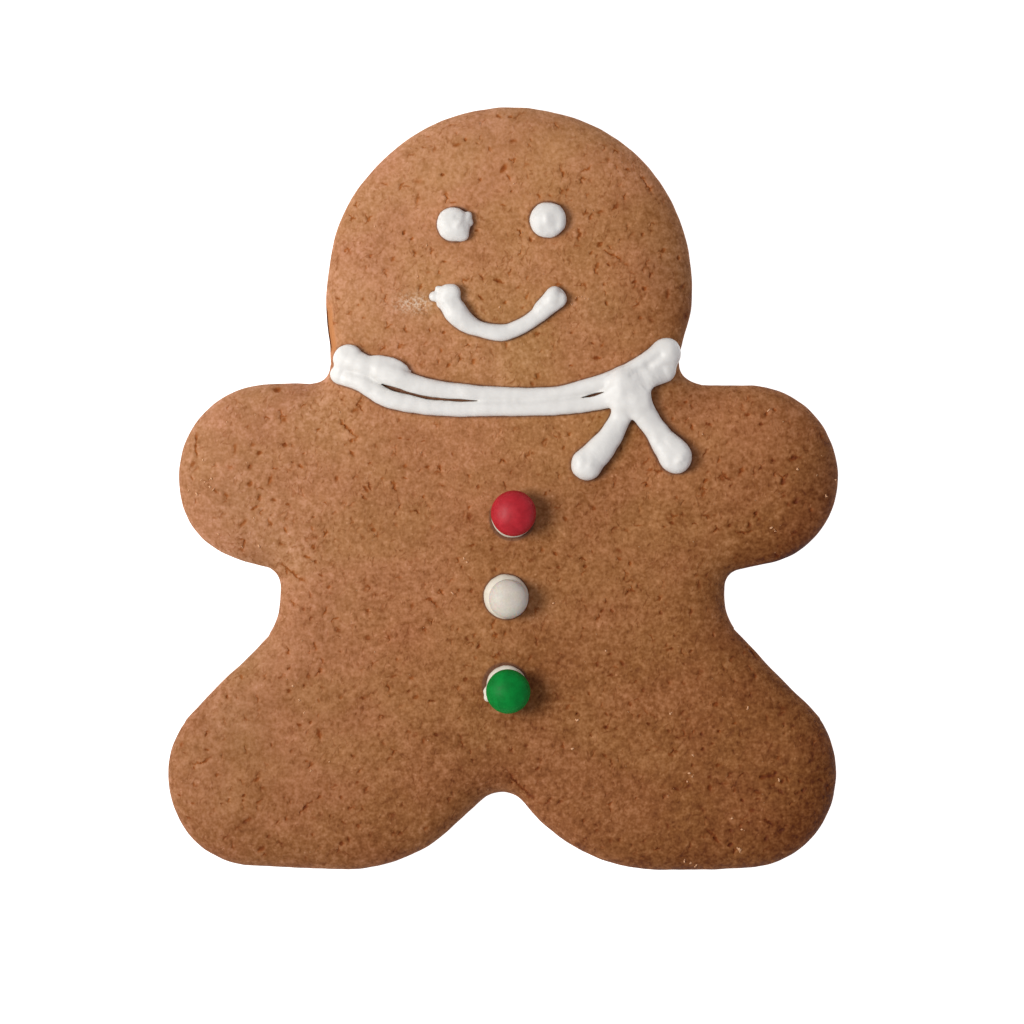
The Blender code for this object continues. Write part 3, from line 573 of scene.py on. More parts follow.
def surface_nets(field, low, step):
    """The surface where the field is zero, as points and four-cornered faces."""
    inside = field < 0.0
    size = [n - 1 for n in field.shape]
    corners = list(itertools.product((0, 1), repeat=3))
    amount = sum(
        inside[tuple(slice(a, a + n) for a, n in zip(corner, size))].astype(np.int8)
        for corner in corners
    )
    cells = np.argwhere((amount > 0) & (amount < 8))
    number = np.full(amount.shape, -1)
    number[tuple(cells.T)] = np.arange(len(cells))
    # Each point is the mean of the places where the surface crosses the edges of its cell.
    total = np.zeros((len(cells), 3))
    hits = np.zeros(len(cells))
    for corner, axis in itertools.product(corners, range(3)):
        if corner[axis]:
            continue
        start = cells + corner
        end = start + np.eye(3, dtype=int)[axis]
        a, b = field[tuple(start.T)], field[tuple(end.T)]
        cross = (a < 0.0) != (b < 0.0)
        place = np.tile(np.array(corner, float), (cross.sum(), 1))
        place[:, axis] += a[cross] / (a[cross] - b[cross])
        total[cross] += place
        hits += cross
    verts = low + step * (cells + total / hits[:, None])
    # Each edge of the grid that the surface crosses makes a face of the four cells round it.
    faces = []
    for axis in range(3):
        u, v = (axis + 1) % 3, (axis + 2) % 3
        first = [slice(1, n) for n in size]
        second = list(first)
        first[axis], second[axis] = slice(0, size[axis]), slice(1, size[axis] + 1)
        below = inside[tuple(first)]
        change = below != inside[tuple(second)]
        edges = np.argwhere(change)
        quad = []
        for du, dv in ((0, 0), (1, 0), (1, 1), (0, 1)):
            cell = edges.copy()
            cell[:, u] += du
            cell[:, v] += dv
            quad.append(number[tuple(cell.T)])
        quad = np.stack(quad, 1)
        faces.append(np.where(below[change][:, None], quad, quad[:, ::-1]))
    return verts, np.concatenate(faces)


def relax(verts, faces, rounds):
    """Evens out the mesh by moving each point halfway to the middle of its neighbours."""
    ends = np.concatenate([faces, np.roll(faces, -1, 1)], 1).reshape(len(faces), 2, 4)
    a, b = ends[:, 0].reshape(-1), ends[:, 1].reshape(-1)
    a, b = np.concatenate([a, b]), np.concatenate([b, a])
    degree = np.bincount(a, minlength=len(verts))[:, None]
    for _ in range(rounds):
        total = np.stack([np.bincount(a, verts[b, k], len(verts)) for k in range(3)], 1)
        verts = verts + 0.5 * (total / degree - verts)
    return verts


# How far the grid of a piece of icing reaches beyond its solid, downwards and upwards.
MARGIN_BELOW = np.array([1.2, 1.2, 1.6])
MARGIN_ABOVE = np.array([1.2, 1.2, 0.8])


def make_icing(
    name, node, material, step, seed, strands=(), lumps=(), presses=(), slits=(),
    lumpiness=0.08, hollow=None,
):
    """A piece of dried icing, as the surface of its distance field on a grid of this step."""
    low, high = box_mm(node)
    low, high = low - MARGIN_BELOW, high + MARGIN_ABOVE
    count = np.ceil((high - low) / step).astype(int) + 1
    axes = [low[a] + np.arange(count[a]) * step for a in range(3)]
    field = icing_field(axes, strands, lumps, presses, slits, lumpiness, seed, hollow)
    verts, faces = surface_nets(field, low, step)
    make_piece(name, relax(verts, faces, 2), faces, material, node)


# ---------------------------------------------------------------- materials


class Shader:
    """A small helper that adds nodes and links them."""

    def __init__(self, name):
        self.material = bpy.data.materials.new(name)
        self.material.use_nodes = True
        self.tree = self.material.node_tree
        self.surface = self.tree.nodes["Principled BSDF"]

    def add(self, kind, inputs=None, output=0, **settings):
        node = self.tree.nodes.new(kind)
        for key, value in settings.items():
            setattr(node, key, value)
        for key, value in (inputs or {}).items():
            self.put(node.inputs[key], value)
        return node.outputs[output]

    def put(self, socket, value):
        if isinstance(value, bpy.types.NodeSocket):
            self.tree.links.new(value, socket)
        elif isinstance(value, tuple) and len(value) == 3 and socket.type == "RGBA":
            socket.default_value = (*value, 1.0)
        else:
            socket.default_value = value

    def millimetres(self, scale=(1.0, 1.0, 1.0), turn=0.0):
        """Places in the part's own frame, turned about +Z by this many degrees."""
        place = self.add("ShaderNodeTexCoord", output=3)
        scale = tuple(s / MM for s in scale)
        rotation = (0.0, 0.0, math.radians(turn))
        return self.add(
            "ShaderNodeMapping", {"Vector": place, "Scale": scale, "Rotation": rotation}
        )

    def noise(self, place, size, detail=3.0, rough=0.55, output=0):
        inputs = {"Vector": place, "Scale": 1.0 / size, "Detail": detail, "Roughness": rough}
        return self.add("ShaderNodeTexNoise", inputs, output)

    def math(self, operation, a, b, clamp=False):
        return self.add("ShaderNodeMath", {0: a, 1: b}, operation=operation, use_clamp=clamp)

    def ramp(self, value, low, high, to_low=0.0, to_high=1.0, smooth=True):
        inputs = {"From Min": low, "From Max": high, "To Min": to_low, "To Max": to_high}
        kind = "SMOOTHSTEP" if smooth else "LINEAR"
        inputs["Value"] = value
        return self.add("ShaderNodeMapRange", inputs, interpolation_type=kind)

    def waves(self, place, layers, total=None):
        """Noises of these sizes and heights, added to a total."""
        for size, height in layers:
            noise = self.noise(place, size, 0.0)
            wave = self.ramp(noise, 0.0, 1.0, -0.5 * height, 0.5 * height, smooth=False)
            total = wave if total is None else self.math("ADD", total, wave)
        return total

    def blend(self, factor, a, b, kind="MIX"):
        inputs = {0: factor, 6: a, 7: b}
        return self.add("ShaderNodeMix", inputs, 2, data_type="RGBA", blend_type=kind)

    def tint(self, colour, tint, amount=1.0):
        """The colour multiplied by a tint, as far as the amount says."""
        return self.blend(amount, colour, tint, "MULTIPLY")

    def value(self, name):
        """A value that the mesh holds for each of its points."""
        return self.add("ShaderNodeAttribute", output=2, attribute_name=name)

    def bump(self, height, distance, strength=1.0, normal=None):
        inputs = {"Height": height, "Distance": distance * MM, "Strength": strength}
        if normal is not None:
            inputs["Normal"] = normal
        return self.add("ShaderNodeBump", inputs)

    def finish(self, **sockets):
        for key, value in sockets.items():
            self.put(self.surface.inputs[key.replace("_", " ")], value)
        return self.material


def linear(srgb):
    """The linear colour of a display colour given from 0 to 255."""
    srgb = np.clip(srgb / 255.0, 0.0, 1.0)
    shade = np.where(srgb > 0.04, ((srgb + 0.055) / 1.055) ** 2.4, srgb / 12.9)
    return tuple(shade.tolist())


# The crust goes from dark to pale along this line of display colours, as its tone goes from
# 0 to 1.
CRUST_MIDDLE = np.array([152.3, 99.1, 58.9])
CRUST_SPAN = np.array([165.0, 154.0, 154.0])
# The other colours multiply the crust's.
TEAR_TINT = (0.64, 0.44, 0.21)
TEAR_STRENGTH = 0.65
PORE_TINT = (0.73, 0.49, 0.21)
# A deep pore's darker tint is partly painted shade at its bottom.
DEEP_TINT = (0.68, 0.48, 0.28)
# The most and the least saturated crust: see hue_at.
MOST_ORANGE = (1.0, 0.97, 0.82)
MOST_GREY = (1.0, 1.043, 1.30)
# See olive_at.
LEAST_OLIVE = (1.05, 0.93, 1.0)
MOST_OLIVE = (0.95, 1.07, 1.0)
# Broad cloudiness, and the fine mottling's darker and paler spots.
CLOUD_TINTS = ((1.018, 0.991, 1.03), (0.982, 1.007, 0.945))
FINE_TINTS = ((1.0, 0.98, 0.85), (1.0, 1.02, 1.12))
# These cover the crust: painted contact shadow under and round the icing, flour on it, and
# dough without a crust.
CONTACT_SHADE_BROWN = (0.10, 0.045, 0.030)
FLOUR = (0.76, 0.58, 0.43)
BARE_DOUGH = (0.50, 0.205, 0.075)
# Size and height of the waves of tone: the broad ones go into the tone as they are, and the
# fine ones are stronger where the crust is browner.
BROAD_WAVES = [(16.0, 0.07), (6.0, 0.10), (3.0, 0.10)]
FINE_WAVES = [(1.5, 0.16), (0.78, 0.195), (0.42, 0.16)]
# Shallow tears: direction in degrees, width, length beside the width, share of the crust left.
STROKES = [(62.0, 0.64, 2.5, 0.59), (104.0, 0.70, 2.1, 0.60), (8.0, 0.60, 2.3, 0.62)]


def gingerbread_material():
    """Baked crust. The mesh says how pale, how mottled, how grey and how olive it is, and where
    it has pores, painted contact shadow round the icing, flour and bare dough."""
    s = Shader("baked_gingerbread")
    mm = s.millimetres()
    pit = s.value("pit")
    grain = s.value("grain")
    strength = s.math("MULTIPLY", s.ramp(s.value("tone"), 0.2, 0.75, 1.5, 0.95), grain)
    mottle = s.waves(mm, FINE_WAVES)
    tone = s.waves(mm, BROAD_WAVES, s.value("tone"))
    # Short strokes: shallow tears in the crust, most of them lying one way.
    wander = s.noise(mm, 1.4, 1.0, 0.5, output=1)
    bent = s.add("ShaderNodeVectorMath", {0: mm, 1: wander}, operation="ADD")
    tears = None
    for number, (turn, size, stretch, share) in enumerate(STROKES):
        inputs = {"Vector": bent, "Angle": math.radians(-turn)}
        turned = s.add("ShaderNodeVectorRotate", inputs, rotation_type="Z_AXIS")
        apart = (17.0 * number, 5.0 * number, 3.0 * number)
        inputs = {"Vector": turned, "Scale": (1.0 / stretch, 1.0, 1.0), "Location": apart}
        place = s.add("ShaderNodeMapping", inputs)
        stroke = s.ramp(s.noise(place, size, 1.0, 0.4), share, share + 0.16)
        tears = stroke if tears is None else s.math("MAXIMUM", tears, stroke)
    crowd = s.ramp(s.noise(mm, 4.5, 1.0, 0.5), 0.38, 0.60, 0.35, 1.0)
    tears = s.math("MULTIPLY", tears, s.math("MULTIPLY", crowd, grain))
    # Pale flecks of flour and sugar.
    dust = s.add("ShaderNodeTexVoronoi", {"Vector": bent, "Scale": 0.95}, feature="F1")
    chosen = s.ramp(s.noise(mm, 1.2, 0.0), 0.56, 0.66)
    fleck = s.math("MULTIPLY", s.ramp(dust, 0.24, 0.08), chosen)
    mottle = s.math("ADD", mottle, s.math("MULTIPLY", fleck, 0.10))
    tone = s.math("ADD", tone, s.math("MULTIPLY", mottle, strength))
    colour = s.add("ShaderNodeValToRGB", {"Fac": tone})
    stops = colour.node.color_ramp.elements
    for place in (0.2, 0.4, 0.6, 0.8):
        stops.new(place)
    for stop in stops:
        stop.color = (*linear(CRUST_MIDDLE + (stop.position - 0.5) * CRUST_SPAN), 1.0)
    cloud = s.ramp(s.noise(s.millimetres((0.8, 1.0, 1.0), 25.0), 11.0, 1.0, 0.5), 0.36, 0.66)
    olive = s.ramp(s.value("olive"), -1.5, 1.5, smooth=False)
    colour = s.tint(colour, s.blend(cloud, *CLOUD_TINTS))
    # Greyer where hue_at paints a sheen on the left and cool shade at the edges.
    colour = s.tint(colour, s.blend(s.value("hue"), MOST_ORANGE, MOST_GREY))
    colour = s.tint(colour, s.blend(olive, LEAST_OLIVE, MOST_OLIVE))
    colour = s.tint(colour, s.blend(s.ramp(mottle, -0.12, 0.12, smooth=False), *FINE_TINTS))
    colour = s.tint(colour, TEAR_TINT, s.math("MULTIPLY", tears, TEAR_STRENGTH))
    # A shallow pore is a more saturated brown; a deep one is dark, which is partly painted shade
    # at the bottom of the pore.
    colour = s.tint(colour, PORE_TINT, s.math("MULTIPLY", pit, 2.2, clamp=True))
    colour = s.tint(colour, DEEP_TINT, s.ramp(pit, 0.45, 1.0, 0.0, 0.8))
    colour = s.blend(s.value("bare"), colour, BARE_DOUGH)
    dusting = s.math("MULTIPLY", s.ramp(s.noise(mm, 0.5, 3.0, 0.7), 0.42, 0.62), 0.8)
    colour = s.blend(s.math("MULTIPLY", s.value("flour"), dusting), colour, FLOUR)
    # Painted contact shadow round the icing and candies.
    colour = s.blend(s.math("MULTIPLY", s.value("contact_shade"), 0.7), colour, CONTACT_SHADE_BROWN)
    rough = s.ramp(s.noise(mm, 1.5, 3.0, 0.6), 0.3, 0.7, 0.66, 0.84)
    relief = s.math("SUBTRACT", s.noise(mm, 0.8, 3.0, 0.6), s.math("MULTIPLY", tears, 0.4))
    normal = s.bump(relief, 0.15, 0.7)
    normal = s.bump(s.noise(mm, 0.24, 2.0, 0.6), 0.04, 0.5, normal)
    return s.finish(Base_Color=colour, Roughness=rough, Normal=normal, Specular_IOR_Level=0.2)


def icing_material(name, pale, deep):
    """Dried icing: slightly cloudy, with a soft gloss and a little light inside it."""
    s = Shader(name)
    mm = s.millimetres()
    colour = s.blend(s.ramp(s.noise(mm, 2.2, 3.0, 0.5), 0.3, 0.7), deep, pale)
    rough = s.ramp(s.noise(mm, 1.2, 2.0, 0.5), 0.3, 0.7, 0.42, 0.56)
    normal = s.bump(s.noise(mm, 0.8, 3.0, 0.55), 0.07, 0.6)
    return s.finish(
        Base_Color=colour,
        Roughness=rough,
        Normal=normal,
        Specular_IOR_Level=0.42,
        Subsurface_Weight=0.12,
        Subsurface_Radius=(1.0, 0.9, 0.8),
        Subsurface_Scale=0.5 * MM,
    )


def candy_material(name, bright, deep, specular, depth):
    """Coloured sugar: cloudy, finely speckled and half matt."""
    s = Shader(name)
    mm = s.millimetres()
    colour = s.blend(s.ramp(s.noise(mm, 1.6, 3.0, 0.55), 0.25, 0.75), deep, bright)
    speck = s.ramp(s.noise(mm, 0.35, 2.0, 0.6), 0.3, 0.7, 0.94, 1.05, smooth=False)
    colour = s.tint(colour, s.blend(1.0, (0.0, 0.0, 0.0), speck, "ADD"))
    rough = s.ramp(s.noise(mm, 0.8, 3.0, 0.6), 0.3, 0.7, 0.44, 0.58)
    normal = s.bump(s.noise(mm, 0.5, 3.0, 0.5), 0.03, 0.5)
    return s.finish(
        Base_Color=colour,
        Roughness=rough,
        Normal=normal,
        Specular_IOR_Level=specular,
        Subsurface_Weight=depth,
        Subsurface_Scale=0.8 * MM,
    )


# ---------------------------------------------------------------- the cookie


def round_cover():
    """Middle and radius of each round blob of icing, seen from above."""
    found = []
    for node in ROUND_ICING:
        low, high = box_mm(node)
        reach = 0.5 * (high - low)[:2].min()
        found.append((low[:2] + reach, reach))
    return found


def icing_cover(points):
    """Signed distance to the nearest icing or candy, seen from above. It is negative under it."""
    cover = np.full(len(points), 9.0)
    for stops in ICING_STRANDS:
        line = catmull(stops, 6)
        radii = 0.5 * line[:, 2]
        away, pick, t = segment_distance(
            points, line[:-1, :2], line[1:, :2], (radii[:-1], radii[1:])
        )
        cover = np.minimum(cover, away - between(radii, pick, t))
    for middle, reach in round_cover():
        cover = np.minimum(cover, np.hypot(*(points - middle).T) - reach)
    return cover


EDGE_OFFSETS = (-0.15, 0.1, 0.35)  # of the mesh points beside the edge of the icing


def icing_edges():
    """Mesh points along both sides of the icing, where the painted contact shadow darkens the
    crust.
    """
    places = []
    for stops in ICING_STRANDS:
        line = catmull(stops, 12)
        along = np.gradient(line[:, :2], axis=0)
        across = np.stack([-along[:, 1], along[:, 0]], 1) / np.hypot(*along.T)[:, None]
        for offset in EDGE_OFFSETS:
            reach = (0.5 * line[:, 2] + offset)[:, None]
            places += [line[:, :2] + across * reach, line[:, :2] - across * reach]
    turns = np.linspace(0.0, FULL_TURN, 80, endpoint=False)
    circle = np.stack([np.cos(turns), np.sin(turns)], 1)
    for middle, reach in round_cover():
        places += [middle + circle * (reach + offset) for offset in EDGE_OFFSETS]
    return places


def scattered_pores(count, rng):
    """Pores of mixed sizes, thicker in some places than in others, and apart from each other."""
    taken = [(x, y, 0.5 * length) for x, y, length, *_ in PORES]
    tries = rng.uniform(OUTLINE.min(0), OUTLINE.max(0), (count * 9, 2))
    crowd = 0.5 + 0.5 * layered(tries, [(16.0, 0.9), (5.0, 0.5)], SEED + 30)
    keep = (inset_at(tries) > 1.3) & (icing_cover(tries) > 0.5)
    keep &= rng.uniform(size=len(tries)) < 0.25 + 0.6 * crowd
    pores = []
    for x, y in tries[keep]:
        length = 0.55 + 0.95 * rng.beta(1.3, 3.0)
        clear = 0.55 * length + 0.25
        if any((x - a) ** 2 + (y - b) ** 2 < (clear + reach) ** 2 for a, b, reach in taken):
            continue
        width = length * rng.uniform(0.38, 0.8)
        depth = 0.25 + 0.6 * rng.beta(1.5, 2.2)
        pores.append((x, y, length, min(width, 0.75), rng.uniform(0, 180), depth))
        taken.append((x, y, 0.5 * length))
        if len(pores) == count:
            break
    return pores


def towards(heading):
    """One millimetre in this direction."""
    return np.array([math.cos(heading), math.sin(heading)])


def scattered_tears(count, rng):
    """Short tears with a bend or a branch, as lines of a few points with a width and a depth."""
    tries = rng.uniform(OUTLINE.min(0), OUTLINE.max(0), (count * 6, 2))
    crowd = 0.5 + 0.5 * layered(tries, [(13.0, 0.9), (5.0, 0.6)], SEED + 34)
    keep = (inset_at(tries) > 1.6) & (icing_cover(tries) > 0.9)
    keep &= rng.uniform(size=len(tries)) < 0.2 + 0.65 * crowd
    tears = []
    for start in tries[keep][:count]:
        usual = rng.uniform() < 0.65
        heading = math.radians(rng.normal(62.0, 22.0) if usual else rng.uniform(0.0, 180.0))
        width = rng.uniform(0.24, 0.40)
        depth = 0.25 + 0.65 * rng.beta(1.4, 2.2)
        line = [start]
        for _ in range(1 + (rng.uniform() < 0.6) + (rng.uniform() < 0.3)):
            line.append(line[-1] + rng.uniform(0.35, 0.85) * towards(heading))
            heading += rng.choice([-1.0, 1.0]) * math.radians(rng.uniform(15.0, 75.0))
        tears.append((line, width, depth))
        if rng.uniform() < 0.35:
            fork = line[len(line) // 2]
            heading += math.radians(rng.uniform(50.0, 120.0))
            tip = fork + rng.uniform(0.4, 0.8) * towards(heading)
            tears.append(([fork, tip], 0.8 * width, 0.8 * depth))
    return tears


def tear_steps(line, width, depth, rng):
    """A tear as overlapping elongated pores, thinner towards its ends."""
    path = np.asarray(line, float)
    travelled = travelled_along(path)
    count = max(2, round(travelled[-1] / TEAR_STEP))
    places = (np.arange(count) + 0.5) * travelled[-1] / count
    xs, ys = (np.interp(places, travelled, column) for column in path.T)
    steps = []
    for x, y, place in zip(xs, ys, places):
        part = min(np.searchsorted(travelled, place), len(path) - 1)
        along = path[part] - path[part - 1]
        heading = math.degrees(math.atan2(along[1], along[0])) + rng.normal(0.0, 8.0)
        middle = math.sin(math.pi * place / travelled[-1])
        size = width * (0.7 + 0.4 * middle) * rng.uniform(0.85, 1.2)
        steps.append((x, y, 0.62, size, heading, depth * (0.6 + 0.4 * middle)))
    return steps


def crack_steps(line, rng):
    """A crack as short overlapping steps, wandering a little and fading at its ends."""
    path = np.asarray(line, float)
    travelled = travelled_along(path)
    places = np.arange(0.5 * CRACK_STEP, travelled[-1], CRACK_STEP)
    xs, ys = (np.interp(places, travelled, column) for column in path.T)
    headings = np.degrees(np.arctan2(np.gradient(ys), np.gradient(xs)))
    share = places / travelled[-1]
    depth = (0.3 + 0.7 * np.sin(np.pi * share) ** 0.6) * rng.uniform(0.4, 1.0, len(places))
    wander = rng.normal(0.0, 0.045, (len(places), 2))
    return [
        (x + w[0], y + w[1], 0.55, 0.24 + 0.2 * d, heading, 0.95 * d)
        for x, y, w, heading, d in zip(xs, ys, wander, headings, depth)
    ]


def pore_shape(points, pore):
    """How deep the pore is at each point, from 0 to its own depth."""
    x, y, length, width, angle, depth = pore
    turn = math.radians(angle)
    dx, dy = points[:, 0] - x, points[:, 1] - y
    u = (dx * math.cos(turn) + dy * math.sin(turn)) / (0.5 * length)
    v = (dy * math.cos(turn) - dx * math.sin(turn)) / (0.5 * width)
    return depth * np.exp(-((u * u + v * v) ** 1.6))


def pore_rings(pore, rng):
    """Places for mesh points in and round a pore."""
    x, y, length, width, angle, _ = pore
    turn = math.radians(angle)
    places = [(0.0, 0.0)]
    small = length * width < 0.3
    for reach, number in ((0.7, 5), (1.3, 8)) if small else ((0.5, 6), (0.95, 9), (1.45, 11)):
        start = rng.uniform(0, FULL_TURN)
        for k in range(number):
            a = start + FULL_TURN * k / number
            places.append((reach * math.cos(a), reach * math.sin(a)))
    uv = np.array(places) * (0.5 * length, 0.5 * width)
    c, s = math.cos(turn), math.sin(turn)
    return np.stack([x + uv[:, 0] * c - uv[:, 1] * s, y + uv[:, 0] * s + uv[:, 1] * c], 1)


# Broad patches of paler or browner tone: place, reach and change of tone. Most are uneven
# browning. The darker ones round and right of the three candies and beside the scarf's left
# tail are painted shadow, and the paler one right of the white candy is painted light on its
# shadow.
BROWNING_AND_PAINTED_SHADOWS = [
    (35, 34, 8, -0.11), (44, 13, 7, 0.09), (53, -8, 8, -0.1), (-7, -51, 7, -0.08),
    (-3, -11, 6, -0.06), (24, 62, 6, 0.05), (24, -66, 6, 0.05), (-21, -12, 6, 0.03),
    (20, 50, 5, -0.05), (-23, 34, 6, 0.05), (26, -49, 8, 0.04), (-50, 8, 5, -0.03),
    (-41, -26, 9, 0.05), (-9, 28, 7, 0.03), (-9, -20, 6, 0.05), (1, -37, 6, -0.07),
    (56, 2, 6, -0.04), (12, 49, 7, -0.03), (12, 8, 4, 0.06), (-44, 2, 4, -0.07),
    (18, 2, 5, -0.06), (10, -9, 6, -0.05), (3, -36, 5, -0.05), (5.5, 45.5, 4, 0.05),
    (-7, 46, 4, -0.03), (-13, 52, 4, 0.05), (-20, -17, 6, -0.04), (-1, -28, 4, 0.05),
    (-47, -62, 6, -0.055), (-20, -63, 6, -0.045), (-58, 3, 6, -0.04), (-21, 45, 6, -0.045),
    (-29, 45, 5, -0.05), (27, 48, 6, -0.045), (20, 34, 5, -0.04), (52, -42, 5, 0.03),
    (43, -36, 4, -0.04), (48, 8, 5, -0.03), (-32, 2, 4, -0.03), (54, 16.5, 4, 0.06),
    (60, -1, 5, -0.03), (-1, -36.5, 6, -0.03), (5, -35.5, 4, -0.04), (8, -31, 5, -0.05),
    (6, -66, 4, 0.03), (-13, 16, 6, 0.03), (-9, 48, 5, -0.04), (12, -41, 4, -0.04),
    (-19, 8, 4, -0.03), (56, -65, 4, 0.04), (-44, -29, 4, 0.03), (-10, 42, 8, 0.03),
    (0, -64, 5, 0.05), (12, -62, 6, 0.04), (-26, 8, 6, 0.03), (-4, 2, 5, 0.035),
    (-54, 8, 5, 0.035), (-47, -36, 6, 0.035), (-18, -36, 4, 0.035), (-7, -36, 4, 0.035),
    (-38, -16, 4, 0.035), (-40, -10, 6, 0.03), (-7, -14, 4, 0.035), (-18, -48, 4, 0.03),
    (-10, -54, 4, -0.03), (-25, -63, 5, -0.03), (43, -67, 4, 0.04), (18, -67, 4, 0.03),
    (28, 49, 5, -0.03), (33, 0, 6, 0.025), (33, 45, 5, -0.04), (56, -60, 6, -0.055),
    (-30, 17, 5, 0.055), (40, -69, 4, 0.05), (4, 33, 4, 0.055), (21, 7, 4, -0.05),
    (5, -21, 4, 0.05), (-1, -32, 3.5, 0.055), (-10, -13, 4, -0.045), (-24, 56, 5, -0.04),
    (34, 4, 5, 0.04), (22, 56, 5, -0.035), (-58, -55, 5, 0.04), (10, -33, 4, -0.035),
    (51, -39, 4, 0.035),
]


# Edges darkened with painted shade, where the wall under the right arm lies in shadow and
# shows as a dark strip: place, reach and how much.
PAINTED_EDGE_SHADE = [(50.0, -13.0, 8.0, 0.34), (41.0, -15.0, 3.0, 0.15)]


def tone_at(points, inset):
    """How pale the crust is, from 0 to 1: browner to the right, lower down and towards the
    edges, most of all at the right edges. These falls are partly painted shade, carrying on the
    fall-off of the window light and the shade of edges that face away from it.
    """
    x, y = points.T
    rim = np.clip(1.0 - inset / 11.0, 0.0, 1.0) ** 2
    # Darker to the right, lower down and at the edges: partly painted shade.
    tone = 0.546 - 0.00152 * x + 0.00205 * y - rim * (0.068 + 0.0005 * x - 0.0003 * y)
    # Uneven browning, with painted shadows and painted light round the candies and the left tail.
    tone = add_patches(tone, points, BROWNING_AND_PAINTED_SHADOWS)
    # Painted shade along the edge under the right arm, fading inwards.
    tone -= add_patches(np.zeros(len(points)), points, PAINTED_EDGE_SHADE) * np.exp(-inset / 0.7)
    return tone - 0.03 * (x / 60.0) ** 2


# Broad patches with a more olive brown, or a redder one where below 0: place, reach, amount.
OLIVE = [
    (-50, -42, 6, 1), (-47, -28, 6, 0.9), (-48, -3, 8, 0.8), (-41, -13, 6, 0.9),
    (-14, 33, 4, 0.8), (2, 26, 11, 0.8), (18, 33, 4, 0.9), (31, 39, 5, 0.6), (14, 53, 6, 0.7),
    (20, 11, 4, 1.4), (13, 1, 5, 0.8), (1, -37, 6, 0.7), (-7, -48, 5, 0.5), (-17, -28, 7, -0.8),
    (43, 14, 6, -0.8),
]


def olive_at(points):
    """How olive the brown is, from -1.5 to 1.5."""
    return add_patches(np.zeros(len(points)), points, OLIVE)


# Parts of the crust that stayed smoother: place, reach and change of grain.
SMOOTH = [
    (-46, -50, 17, -0.27), (2, 63, 15, -0.25), (-47, 8, 13, -0.12), (-24, 48, 9, -0.12),
]
# Right edges with a greyer tint that is painted cool shade, where they face away from the
# light: place, reach and how much.
PAINTED_SHADE_GREY = [(31, 42, 7, 0.12), (60, 3, 6, 0.22)]


def hue_at(points, inset):
    """Share of the greyer tint: more on the left, where it is partly a painted sheen of the
    window light, and near the edges, where it is partly painted cool shade.
    """
    x = points[:, 0] / 60.0
    blue = np.exp(-0.05 - 0.134 * x + 0.037 * x**2 + 0.145 * np.exp(-inset / 5.0))
    return np.clip((add_patches(blue, points, PAINTED_SHADE_GREY) - 0.82) / 0.48, 0.0, 1.0)


def grain_at(points):
    """How strongly the crust is mottled."""
    return add_patches(np.ones(len(points)), points, SMOOTH)


def flour_at(points):
    """A smear of flour beside the left end of the smile."""
    return np.exp(-(((points[:, 0] + 16.3) / 3.2) ** 2 + ((points[:, 1] - 33.9) / 1.5) ** 2))


def contact_shade_at(points):
    """Painted contact shadow: the crust is dark under the icing and in a thin ring close beside
    it.
    """
    cover = icing_cover(points)
    return np.where(cover < 0.0, 1.0, np.exp(-((np.maximum(cover, 0.0) / 0.24) ** 2)))


def flare_at(points):
    """Where the side of the dough shows outside the browned top: low on the left cheek."""
    x, y = points.T
    return smoothstep(23.5, 26.0, y) * (1.0 - smoothstep(32.0, 35.5, y)) * (x < -24.0)


def triangulate(points, loop_count):
    """Delaunay triangles inside the closed loop that the first loop_count points make: their
    corners, the triangles, and which corner each point of the loop became."""
    coords = [Vector(p) for p in points.tolist()]
    loop = list(range(loop_count))
    verts, _, faces, origins, _, _ = delaunay_2d_cdt(coords, [], [loop], 1, 1e-5)
    ring = np.full(loop_count, -1)
    for index, sources in enumerate(origins):
        for source in sources:
            if source < loop_count:
                ring[source] = index
    return np.array([v[:] for v in verts]), np.array(faces), ring


def staggered(spacing, row_spacing, jitter, rng):
    """Points over the whole cookie, in rows of which every other one is half a step along."""
    low, high = OUTLINE.min(0), OUTLINE.max(0)
    rows = []
    for k, y in enumerate(np.arange(low[1], high[1], row_spacing)):
        xs = np.arange(low[0], high[0], spacing) + (k % 2) * 0.5 * spacing
        rows.append(np.stack([xs, np.full(len(xs), y)], 1))
    spread = np.concatenate(rows)
    return spread + rng.uniform(-jitter, jitter, spread.shape)


def top_points(pores, rng):
    """Rings near the outline, an even spread inside them, and rings in and round each pore."""
    rings = [OUTLINE] + [OUTLINE - OUTWARD * inset for inset in RING_INSETS]
    spread = staggered(TOP_SPACING, TOP_SPACING * 0.866, 0.13, rng)
    spread = spread[inset_at(spread) > RING_INSETS[-1] + 0.3]
    free = np.ones(len(spread), bool)
    details = []
    for pore in pores:
        x, y, length, width, angle, _ = pore
        window = np.flatnonzero(np.abs(spread[:, 0] - x) < length)
        wider = (x, y, length * 1.5, width * 1.5 + 0.1, angle, 1.0)
        free[window[pore_shape(spread[window], wider) > 0.3]] = False
        details.append(pore_rings(pore, rng))
    details = np.concatenate(details + icing_edges())
    details = details[inset_at(details) > 0.25]
    _, apart = np.unique(np.round(details / DETAIL_SPACING), axis=0, return_index=True)
    return np.concatenate(rings + [spread[free], details[np.sort(apart)]])


